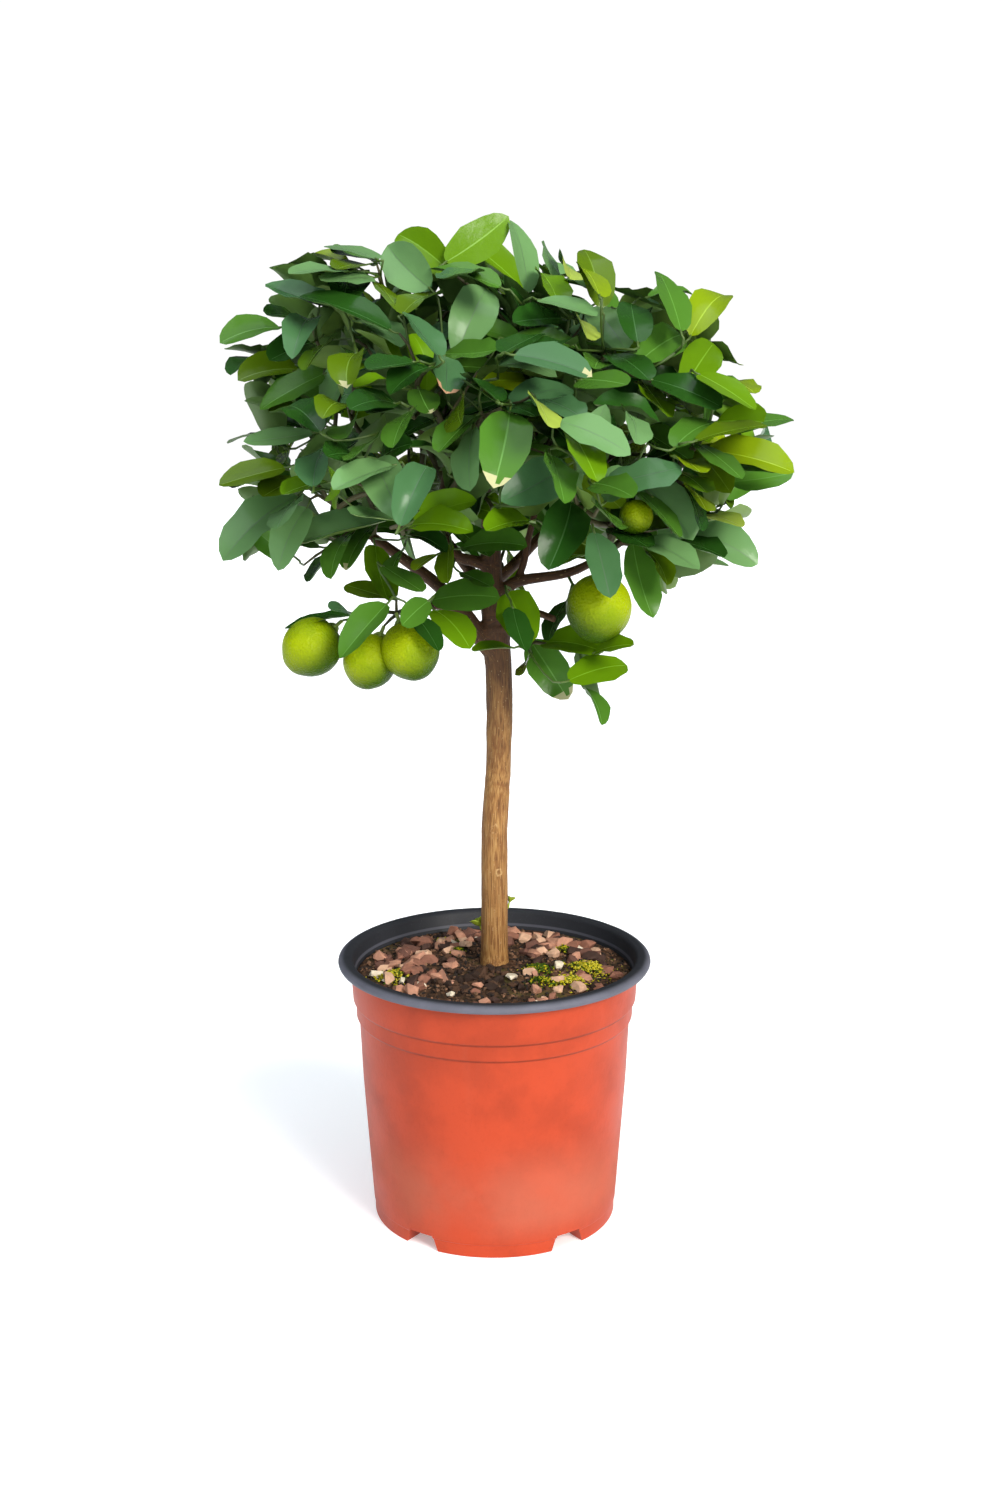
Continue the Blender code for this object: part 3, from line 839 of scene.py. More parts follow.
def tube(points, radii, sides):
    """A closed tube with round ends, extruded from ring to ring along a line."""
    mesh = bmesh.new()
    frames = ring_frames(points)
    start = frames[0] @ Matrix.Diagonal((radii[0], radii[0], radii[0], 1))
    bmesh.ops.create_circle(mesh, cap_ends=True, radius=1.0, segments=sides, matrix=start)
    bmesh.ops.reverse_faces(mesh, faces=mesh.faces)
    edges = list(mesh.edges)
    for index in range(1, len(points)):
        made = bmesh.ops.extrude_edge_only(mesh, edges=edges)["geom"]
        corners = [part for part in made if isinstance(part, bmesh.types.BMVert)]
        edges = [part for part in made if isinstance(part, bmesh.types.BMEdge)]
        edges = [edge for edge in edges if all(corner in corners for corner in edge.verts)]
        share = radii[index] / radii[index - 1]
        grown = Matrix.Diagonal((share, share, share, 1))
        move = frames[index] @ grown @ frames[index - 1].inverted()
        bmesh.ops.transform(mesh, matrix=move, verts=corners)
    bmesh.ops.contextual_create(mesh, geom=edges)
    bmesh.ops.recalc_face_normals(mesh, faces=mesh.faces)
    return mesh


def remeshed(mesh, voxel):
    """One skin round a bmesh of overlapping closed shapes, as a new mesh in the same units."""
    data = as_data("overlapping", mesh)
    shape = linked("overlapping", data)
    modifier = shape.modifiers.new("one_skin", "REMESH")
    modifier.mode = "VOXEL"
    modifier.voxel_size = voxel
    graph = bpy.context.evaluated_depsgraph_get()
    skin = bpy.data.meshes.new_from_object(shape.evaluated_get(graph))
    bpy.data.objects.remove(shape, do_unlink=True)
    bpy.data.meshes.remove(data)
    return skin


def limb_places():
    """A tree of all centre line points, and for each its frame, radius and distance along its limb."""
    places = []
    for name, (points, radii) in limbs().items():
        for index, ring in enumerate(ring_frames(points)):
            places.append((ring, radii[index], index * ROUTE_STEP, name))
    tree = KDTree(len(places))
    for index, place in enumerate(places):
        tree.insert(place[0].translation, index)
    tree.balance()
    return tree, places


def knot_marks(height, degrees):
    """How far the knots raise the bark at a place on the trunk, and how pale a ring they leave there."""
    swelling = 0.0
    scar = 0.0
    for knot_height, direction, width, rise, paleness in KNOTS:
        turn = (degrees - direction + 180) % 360 - 180
        across = math.radians(turn) * 10.0
        away = math.hypot(across, (height - knot_height) * 0.8) / width
        away += 0.28 * noise.noise(Vector((across * 0.7, height * 0.7, 0)))
        swelling += rise * math.exp(-(away**2)) * (1.0 - 0.6 * math.exp(-((away * 3.0) ** 2)))
        ring = math.exp(-(((away - 0.60) / 0.17) ** 2))
        heart = math.exp(-((away / 0.4) ** 2))
        scar += paleness * (ring + 0.35 * heart)
    return swelling, min(scar, 1.0)


# How far the trunk's bark lies under the limb's even outline, in millimetres, so that its ridges reach it
BARK_SUNK = 0.5
# Size of the small cubes that the bark is modelled in, in metres
BARK_VOXEL = 0.95 * MM
# Heights of the bark's ridges, of its fine grain and of the broad lumps under them, in millimetres
RIDGE_HEIGHT = 0.15
GRAIN_HEIGHT = 0.09
LUMP_HEIGHT = 0.30
# Radius below which a bough's relief grows less, in millimetres
THIN_BOUGH = 6.0


def make_bark(tan):
    """Trunk and boughs under one skin, with upright ridges, knots and swellings."""
    heap = Heap()
    for points, radii in limbs().values():
        heap.add(tube(points[::2], radii[::2], 20))
    skin = remeshed(scaled(heap.taken(), MM), BARK_VOXEL)
    tree, places = limb_places()
    skin.attributes.new("grain", "FLOAT_VECTOR", "POINT")
    scar = skin.attributes.new("scar", "FLOAT", "POINT")
    grain = skin.attributes["grain"]
    for vertex in skin.vertices:
        at = vertex.co / MM
        _, index, _ = tree.find(at)
        ring, radius, along, name = places[index]
        out = ring.inverted() @ at
        angle = math.atan2(out.y, out.x)
        flat = Vector((math.cos(angle) * radius, math.sin(angle) * radius, along + out.z))
        outward = (at - ring.translation - ring.col[2].to_3d() * out.z).normalized()
        ridge = noise.noise(Vector((flat.x * 1.1, flat.y * 1.1, flat.z * 0.12)))
        fine = noise.noise(Vector((flat.x * 2.6, flat.y * 2.6, flat.z * 0.45)) + Vector((7, 3, 1)))
        lump = noise.noise(flat * 0.07)
        swell = RIDGE_HEIGHT * ridge + GRAIN_HEIGHT * fine + LUMP_HEIGHT * lump
        if name == "trunk":
            knot, mark = knot_marks(at.z, math.degrees(angle))
            swell += knot - BARK_SUNK
            scar.data[vertex.index].value = mark
        vertex.co += outward * swell * MM * min(1.0, radius / THIN_BOUGH)
        grain.data[vertex.index].vector = flat * MM
    finish_piece("bark", skin, [bark_finish(tan)], ["trunk", *BOUGHS])


def foliage_names():
    return sorted(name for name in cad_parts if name.startswith("foliage_"))


# Size of the small cubes that the room for the leaves is modelled in, in metres
ROOM_VOXEL = 7 * MM


class Crown:
    """The room that the leaves may fill, as the masses of foliage give it."""

    def __init__(self):
        mesh = bmesh.new()
        self.centres = {}
        for name in foliage_names():
            mesh.from_mesh(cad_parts[name].data)
            low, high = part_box(name)
            self.centres[name] = ((low + high) / 2 / MM, (high - low) / 2 / MM)
        bmesh.ops.remove_doubles(mesh, verts=mesh.verts, dist=1e-6)
        skin = remeshed(mesh, ROOM_VOXEL)
        room = bmesh.new()
        room.from_mesh(skin)
        scaled(room, 1 / MM)
        self.surface = BVHTree.FromBMesh(room)
        room.free()
        bpy.data.meshes.remove(skin)

    def depth(self, point):
        """How far inside the crown a place is, less than 0 outside it."""
        nearest, normal, _, distance = self.surface.find_nearest(point)
        return distance if (Vector(point) - nearest).dot(normal) < 0 else -distance

    def outward(self, point):
        return self.surface.find_nearest(point)[1].normalized()

    def front_depth(self, pixel):
        """Depth at which the crown starts behind a pixel, or passes nearest to it."""
        ray = pixel_ray(pixel)
        hit = self.surface.ray_cast(EYE, ray.normalized())[0]
        if hit is not None:
            return (hit - EYE).dot(FORWARD)
        steps = np.arange(1050.0, 1600.0, 8.0)
        gaps = [self.surface.find_nearest(EYE + ray * step)[3] for step in steps]
        return float(steps[int(np.argmin(gaps))])

    def mass_of(self, point):
        def distance(name):
            centre, half = self.centres[name]
            return sum(((point[axis] - centre[axis]) / half[axis]) ** 2 for axis in range(3))

        return min(self.centres, key=distance)


@functools.cache
def crown():
    return Crown()


def in_sky(x, y):
    """Which of these pixels lie where the picture shows sky."""
    away_x = (x[:, None] - SKY_CENTRES[:, 0]) / SKY_REACHES[:, 0]
    away_y = (y[:, None] - SKY_CENTRES[:, 1]) / SKY_REACHES[:, 1]
    return (away_x**2 + away_y**2 < 1).any(axis=1)


# Leaf blade: places across it and along it, and its outline
ACROSS = (-1.0, -0.54, -0.035, 0.035, 0.54, 1.0)
ACROSS_BELOW = (-1.0, -0.54, 0.0, 0.54, 1.0)
ALONG = (0.0, 0.035, 0.12, 0.25, 0.41, 0.58, 0.74, 0.87, 0.95, 1.0)
LEAF_THICKNESS = 0.5
WIDTH_SHARE = 0.56


def blade_grid(mesh, columns, lowered):
    """A flat grid whose x is the place across the blade, y along it, and z how far below the upper side."""
    made = bmesh.ops.create_grid(mesh, x_segments=len(columns) - 1, y_segments=len(ALONG) - 1, size=1.0)
    for corner in made["verts"]:
        column = round((corner.co.x + 1) / 2 * (len(columns) - 1))
        row = round((corner.co.y + 1) / 2 * (len(ALONG) - 1))
        inside = abs(columns[column]) < 1 and 0 < row < len(ALONG) - 1
        corner.co = (columns[column], ALONG[row], -1.0 if lowered and inside else 0.0)
    return made["verts"]


@functools.cache
def blade():
    """The blade that every leaf is bent from: its mesh, its corners, and where each face is on it."""
    mesh = bmesh.new()
    blade_grid(mesh, ACROSS, lowered=False)
    top = len(mesh.faces)
    blade_grid(mesh, ACROSS_BELOW, lowered=True)
    mesh.faces.ensure_lookup_table()
    bmesh.ops.reverse_faces(mesh, faces=mesh.faces[top:])
    layer = mesh.faces.layers.int.new("under")
    for index, face in enumerate(mesh.faces):
        face[layer] = int(index >= top)
    for end in (0.0, 1.0):
        row = [corner for corner in mesh.verts if corner.co.y == end]
        bmesh.ops.pointmerge(mesh, verts=row, merge_co=Vector((0, end, 0)))
    bmesh.ops.remove_doubles(mesh, verts=mesh.verts, dist=0.001)
    data = as_data("blade", mesh)
    places = np.empty(len(data.vertices) * 3)
    data.vertices.foreach_get("co", places)
    under = np.empty(len(data.polygons), int)
    data.attributes["under"].data.foreach_get("value", under)
    centres = np.array([face.center for face in data.polygons])
    data.attributes.remove(data.attributes["under"])
    return data, places.reshape(-1, 3), centres, under.astype(bool)


class Leaf:
    """One leaf: where it is, how it is bent and what colours it has."""

    def __init__(self, base, tip, normal, dice, tint="mid", width=None, end=""):
        self.base = Vector(base)
        self.tip = Vector(tip)
        self.axis = (self.tip - self.base).normalized()
        self.length = (self.tip - self.base).length
        self.normal = (normal - self.axis * normal.dot(self.axis)).normalized()
        self.side = self.normal.cross(self.axis)
        self.width = width or self.length * WIDTH_SHARE * dice.uniform(0.9, 1.1)
        self.foot_power = dice.uniform(0.48, 0.60)
        self.tip_power = dice.triangular(0.46, 0.78, 0.56)
        self.cup = dice.uniform(1.0, 1.8)
        self.fold = math.radians(dice.triangular(0, 42, 20))
        self.arch = dice.triangular(-0.05, 0.20, 0.09)
        self.twist = math.radians(dice.gauss(0, 16))
        self.wave = dice.uniform(0.0, 0.035)
        self.phase = dice.uniform(0, math.tau)
        self.lean = dice.uniform(-0.07, 0.07)
        self.tint = tint
        self.shade = dice.choice((0, 1, 1, 2))
        self.end = end

    def shape(self, places):
        """Where the places of the flat blade come to lie, as an array."""
        across = places[:, 0]
        along = places[:, 1]
        below = places[:, 2]
        foot, tip = self.foot_power, self.tip_power
        widest = foot / (foot + tip)
        outline = np.power(along, foot) * np.power(np.clip(1 - along, 0, 1), tip)
        outline = outline / (widest**foot * (1 - widest) ** tip)
        outline = outline * (1 + 0.035 * np.sin(along * 15 + self.phase + np.sign(across)))
        half = self.width / 2 * outline
        twist = self.twist * (along - 0.5)
        fold = self.fold * np.sqrt(np.clip(outline, 0, 1))
        sideways = across * half * np.cos(fold)
        wave = np.sin(along * 13 + self.phase + 2.0 * np.sign(across))
        raised = np.abs(across) ** self.cup * half * np.sin(fold)
        raised += np.abs(across) * self.wave * self.length * wave * outline + below * LEAF_THICKNESS
        turned_side = sideways * np.cos(twist) - raised * np.sin(twist)
        turned_up = sideways * np.sin(twist) + raised * np.cos(twist)
        bow = self.lean * self.length * 4 * along * (1 - along)
        arch = self.arch * self.length * 4 * along * (1 - along)
        return (
            np.array(self.base)
            + np.outer(along * self.length, np.array(self.axis))
            + np.outer(turned_side + bow, np.array(self.side))
            + np.outer(turned_up + arch, np.array(self.normal))
        )

    def middle(self):
        return (self.base + self.tip) / 2

    def surface(self):
        """A coarse copy of the blade, to test what it meets."""
        return BVHTree.FromPolygons(self.shape(COARSE_PLACES).tolist(), COARSE_FACES)

    def face_finish(self, centre, under):
        if under:
            return "under_pale" if self.tint in ("pale", "yellow", "bright") else "under"
        if self.end and centre[1] + 0.07 * math.sin(self.phase + 4.0 * centre[0]) > 0.90:
            return self.end
        if abs(centre[0]) < 0.05 and centre[1] < 0.93:
            return (self.tint, "rib")
        return (self.tint, self.shade)


def blade_places(along, across):
    """Places on the flat blade, row by row from its foot to its tip."""
    return np.array([(u, t, 0.0) for t in along for u in across])


# A few places that tell where a leaf is, with its tip as the last
SAMPLES = np.vstack([blade_places((0.22, 0.5, 0.78), (-0.7, 0.0, 0.7)), (0.0, 1.0, 0.0)])

# A blade of four by two squares
COARSE_PLACES = blade_places((0.02, 0.25, 0.5, 0.75, 0.98), (-1.0, 0.0, 1.0))
COARSE_FACES = [(c, c + 1, c + 4, c + 3) for row in range(4) for c in (3 * row, 3 * row + 1)]

# Places close enough to find all that a leaf covers in the picture, and those in the middle of the blade
FINE = blade_places(np.linspace(0.03, 0.98, 26), np.linspace(-0.97, 0.97, 15))
CORE = (np.abs(FINE[:, 0]) < 0.6) & (FINE[:, 1] > 0.25) & (FINE[:, 1] < 0.8)

# Small squares of the picture, by their side in pixels, in which it is told what hides what
CELL = 3.0
CELLS_ACROSS = int(PICTURE_WIDTH / CELL)
# Depth of a square that nothing covers
NOTHING = 1e9


def squares(x, y):
    """The small square that each pixel lies in, counted row by row."""
    return (y / CELL).astype(int) * CELLS_ACROSS + (x / CELL).astype(int)


# A leaf of the picture, in millimetres: how far it lies behind the crown's face, how much further each
# layer lies, and the least and greatest length of one that is drawn from its width
SEEN_DEPTH = 9.0
LAYER_DEPTH = 20.0
SHORT_LEAF = 46.0
LONG_LEAF = 60.0


def make_seen_leaf(row, dice, push):
    """A leaf whose stalk, tip and shown width are where the picture has them, a little pushed back.

    One that hangs tips towards the camera and one that stands tips away, so that its upper side shows.
    """
    middle = ((row.stalk[0] + row.tip[0]) / 2, (row.stalk[1] + row.tip[1]) / 2)
    if row.back is None:
        depth = crown().front_depth(middle) + SEEN_DEPTH + LAYER_DEPTH * row.layer
    else:
        depth = (on_plane(middle, row.back) - EYE).dot(FORWARD)
    per_pixel = depth / FOCAL_PIXELS
    shown = math.dist(row.stalk, row.tip) * per_pixel
    shown_width = row.width * per_pixel
    length = max(shown * 1.02, min(LONG_LEAF, max(SHORT_LEAF, shown_width / 0.6)))
    if row.back is not None:
        length = min(length, max(shown * 1.25, 30.0))
    reach = math.sqrt(max(length**2 - shown**2, 0.0))
    depth += push + (0.42 * reach if row.back is None else 0.0)
    lean = -1 if row.stalk[1] - row.tip[1] > STANDING else 1
    base = from_picture(row.stalk, depth + lean * reach / 2)
    tip = from_picture(row.tip, depth - lean * reach / 2)
    width = length * WIDTH_SHARE * dice.uniform(0.95, 1.08)
    width = min(max(width, shown_width), length * 0.66)
    axis = (tip - base).normalized()
    facing = EYE - (base + tip) / 2
    facing = (facing - axis * facing.dot(axis)).normalized()
    turn = math.acos(min(1.0, shown_width / width))
    turned = [Matrix.Rotation(sign * turn, 3, axis) @ facing for sign in (1, -1)]
    normal = max(turned, key=lambda direction: direction.z)
    leaf = Leaf(base, tip, normal, dice, row.tint, width, row.end)
    leaf.shade = 1
    flatness = math.cos(turn)
    leaf.arch *= 0.15 + 0.85 * flatness
    leaf.fold *= 0.3 + 0.7 * flatness
    leaf.twist *= 0.3 + 0.5 * flatness
    leaf.lean *= 0.5
    x, y, depths = to_picture([leaf.shape(FINE[CORE]).mean(axis=0)])
    move = from_picture(middle, depths[0]) - from_picture((x[0], y[0]), depths[0])
    leaf.base += move
    leaf.tip += move
    return leaf


class Footprint:
    """The squares of the picture that a leaf covers, and how near to the camera it is in each."""

    def __init__(self, leaf):
        x, y, depth = to_picture(leaf.shape(FINE))
        self.cells, first = np.unique(squares(x, y), return_inverse=True)
        self.depths = np.full(len(self.cells), NOTHING)
        np.minimum.at(self.depths, first, depth)
        self.core = np.unique(first[CORE])
        self.box = (x.min(), x.max(), y.min(), y.max())

    def apart(self, other):
        left, right, top, foot = self.box
        return right < other.box[0] or other.box[1] < left or foot < other.box[2] or other.box[3] < top

    def hides(self, other):
        """Share of the other leaf's middle that this leaf is in front of."""
        if self.apart(other):
            return 0.0
        cells = other.cells[other.core]
        at = np.minimum(np.searchsorted(self.cells, cells), len(self.cells) - 1)
        in_front = (self.cells[at] == cells) & (self.depths[at] < other.depths[other.core])
        return float(np.mean(in_front))


class Cover:
    """How near to the camera the nearest leaf is in each small square of the picture."""

    def __init__(self):
        self.nearest = np.full(int(PICTURE_HEIGHT / CELL) * CELLS_ACROSS, NOTHING)

    def add(self, points):
        x, y, depth = to_picture(points)
        np.minimum.at(self.nearest, squares(x, y), depth)

    def add_ball(self, centre, radius):
        """Takes in the side of a fruit that faces the camera."""
        for share in np.linspace(0.1, 0.95, 9):
            for angle in np.linspace(0, math.tau, 40):
                out = (RIGHT * math.cos(angle) + UPWARD * math.sin(angle)) * share
                self.add([centre + (out - FORWARD * math.sqrt(1 - share**2)) * radius])

    def hides(self, points, margin=0.0):
        """Which of the points are nearer to the camera than a leaf that has its place, plus a margin."""
        x, y, depth = to_picture(points)
        nearest = self.nearest[np.clip(squares(x, y), 0, len(self.nearest) - 1)]
        return (nearest < NOTHING) & (depth < nearest + margin)


# Share of the leader and of a bough that bears no shoots, and how many points of their centre lines lie
# between two places where a shoot may start
LEADER_BARE = 0.55
BOUGH_BARE = 0.38
START_GAP = 5

# What makes a place a dear one to grow from: a sharp turn, wood already walked, a way back towards the
# stem, and a start too near the target
TURN_COST = 0.45
WALKED_COST = 0.28
INWARD_COST = 0.8
TOO_NEAR = 4.0
TOO_NEAR_COST = 20.0

# Length of a step along a shoot, and furthest that the directions of its ends draw it out, in millimetres
SHOOT_STEP = 9.0
LEAVING_REACH = 42.0
ENDING_REACH = 22.0

# How many places a shoot is tried from, by how many ways from each, and what each blade in the way costs
PARENTS_TRIED = 7
WAYS_TRIED = 3
BLADE_COST = 60.0

# Radius of a twig's end, and the power of their radii by which twigs add up to the wood that bears them
TWIG_END = 0.75
WOOD_POWER = 2.35

# How much a twig's point that hides a leaf of the picture, or shows before the sky, counts, where one
# that goes through a leaf counts 1
TWIG_IN_FRONT = 1.5
TWIG_IN_SKY = 0.5


class Growth:
    """Twigs that grow on from the limbs to the places that need them."""

    def __init__(self):
        self.places = []
        self.directions = []
        self.parents = []
        self.lengths = []
        self.limits = []
        self.shoots = []
        for name, (points, radii) in limbs().items():
            if name == "trunk":
                continue
            last = len(points) - 1
            start = LEADER_BARE if name == "leader" else BOUGH_BARE
            for index in range(int(start * last), last + 1, START_GAP):
                index = last if last - index < START_GAP else index
                ahead = (points[index] - points[index - 1]).normalized()
                self.add_place(points[index], ahead, -1, 0.0, radii[index])

    def add_place(self, point, direction, parent, length, limit):
        self.places.append(np.array(point))
        self.directions.append(np.array(direction))
        self.parents.append(parent)
        self.lengths.append(length)
        self.limits.append(limit)
        return len(self.places) - 1

    def best_parents(self, target, count):
        places = np.array(self.places)
        toward = np.array(target) - places
        distance = np.linalg.norm(toward, axis=1) + 1e-6
        along = np.einsum("ij,ij->i", toward, np.array(self.directions)) / distance
        inward = np.clip(np.linalg.norm(places[:, :2], axis=1) - np.hypot(target[0], target[1]), 0, None)
        cost = distance * (1.0 + TURN_COST * (1 - along))
        cost = cost + WALKED_COST * np.array(self.lengths) + INWARD_COST * inward
        cost[distance < TOO_NEAR] += TOO_NEAR_COST
        order = np.argsort(cost, kind="stable")[:count]
        return [(int(index), float(cost[index])) for index in order]

    def route(self, parent, target, ending, wander):
        """Points of a smooth shoot from a place on the tree to a target."""
        start = Vector(self.places[parent])
        span = Vector(target) - start
        length = span.length
        steps = max(2, round(length / SHOOT_STEP))
        leaving = (Vector(self.directions[parent]) * 0.8 + span.normalized()).normalized()
        points = [start]
        for step in range(1, steps + 1):
            t = step / steps
            a = 2 * t**3 - 3 * t**2 + 1
            b = t**3 - 2 * t**2 + t
            c = -2 * t**3 + 3 * t**2
            d = t**3 - t**2
            point = start * a + leaving * b * min(length * 0.8, LEAVING_REACH) + Vector(target) * c
            point += ending * d * min(length * 0.7, ENDING_REACH)
            points.append(point + wander * length * math.sin(math.pi * t))
        return points

    def reach(self, target, ending, dice, obstacles):
        """Grows a shoot to a place by the way that meets the fewest blades, and returns its last index."""
        best = None
        for parent, cost in self.best_parents(target, PARENTS_TRIED):
            for _ in range(WAYS_TRIED):
                wander = Vector([dice.gauss(0, 1) for _ in range(3)]) * 0.06
                points = self.route(parent, target, ending, wander)
                score = cost + BLADE_COST * obstacles(points)
                if best is None or score < best[0]:
                    best = (score, parent, points)
        _, index, points = best
        chain = [index]
        for before, point in zip(points, points[1:]):
            walked = self.lengths[index] + (point - before).length
            index = self.add_place(point, (point - before).normalized(), index, walked, 99.0)
            chain.append(index)
        self.shoots.append(chain)
        return index

    def prune(self, bearing):
        """Drops the ends of shoots that lead to no leaf and no fruit."""
        needed = set()
        for index in bearing:
            while index >= 0 and index not in needed:
                needed.add(index)
                index = self.parents[index]
        kept = [[index for index in chain if index in needed] for chain in self.shoots]
        self.shoots = [chain for chain in kept if len(chain) > 1]

    def radii(self):
        """Radius at each place, which carries as much wood as the shoots beyond it."""
        sums = np.zeros(len(self.places))
        for index in range(len(self.places) - 1, -1, -1):
            if sums[index] == 0:
                sums[index] = TWIG_END**WOOD_POWER
            parent = self.parents[index]
            if parent >= 0:
                sums[parent] += sums[index]
        return np.minimum(sums ** (1 / WOOD_POWER), np.array(self.limits) * 0.8)


def hides_fruit(point):
    """Whether a place lies between the camera and a lime that the picture shows."""
    for centre, radius, _ in limes()[: len(SEEN_LIMES)]:
        ray = (centre - EYE).normalized()
        span = Vector(point) - EYE
        along = span.dot(ray)
        if along < (centre - EYE).length and (span - ray * along).length < radius * 1.15:
            return True
    return False


Spray = namedtuple("Spray", "place direction")

CROWN_FOOT = 380.0

# Layers of sprays: least and greatest depth in the crown, spacing, and how often a place is tried
SPRAY_LAYERS = ((7, 22, 25, 40000), (22, 46, 31, 24000), (46, 90, 42, 9000))


def spray_places(dice):
    """Places for the ends of shoots, spaced out through the crown's outer part and thinner inside it."""
    low, high = CAD_BOX
    low, high = low / MM, high / MM
    kept = []
    for near, far, spacing, tries in SPRAY_LAYERS:
        for _ in range(tries):
            place = Vector([dice.uniform(low[axis], high[axis]) for axis in range(3)])
            if place.z < CROWN_FOOT or not near <= crown().depth(place) < far:
                continue
            if any((place - other.place).length_squared < spacing**2 for other in kept):
                continue
            x, y, _ = to_picture([place])
            if in_sky(x, y)[0] or hides_fruit(place):
                continue
            middle = place - Vector((0, 5, 520))
            direction = crown().outward(place) * 0.6 + middle.normalized() * 0.6 + UP * 0.35
            kept.append(Spray(place, direction.normalized()))
    return kept


@functools.cache
def limes():
    """Centre, radius and direction of the stalk of every lime."""
    found = []
    for lime in SEEN_LIMES:
        centre = on_plane(lime.centre, lime.back)
        radius = lime.radius * (centre - EYE).dot(FORWARD) / FOCAL_PIXELS
        stalk = on_plane(lime.stalk, lime.back + 6) - centre
        found.append((centre, radius, stalk.normalized()))
    for centre, radius in FAR_LIMES:
        found.append((Vector(centre), radius, Vector((-0.15, -0.3, 1)).normalized()))
    return found


# How the leaves of the picture are settled: times round all of them, and distances tried, in millimetres
SETTLING_ROUNDS = 3
SETTLING_STEPS = (0, 5, -5, 10, -10, 16, -16, 23, -22, 31, -30, 40)
# What speaks against a place, next to each millimetre in front of the limit: a blade that it crosses,
# being hidden or hiding another, a millimetre of push, and a millimetre too far outside the crown
CROSSING_COST = 3.0
HIDING_COST = 6.0
PUSH_COST = 0.02
OUTSIDE_COST = 0.2
# Furthest that a leaf may reach to the front, and furthest outside the crown, in millimetres
FRONT_LIMIT = -203.0
OUTSIDE_LIMIT = 6.0

# Leaves on the end of a shoot: most of them, furthest from its end, and least distance between them
SPRAY_LEAVES = 7
SPRAY_LENGTH = 64
LEAF_GAP = 6.0
# How many directions a leaf is tried in, and the shares of leaves with their shoot's own tint, of young
# leaves that are yellow and of ends that are cream
DIRECTIONS_TRIED = 7
OWN_TINT_SHARE = 0.65
YELLOW_SHARE = 0.08
CREAM_SHARE = 0.05
# Least distance from a leaf to a lime and to the wood, in millimetres
ROOM_TO_LIME = 5
ROOM_TO_WOOD = 3
# Most of a leaf that may hide the leaves of the picture
HIDING_SHARE = 0.03


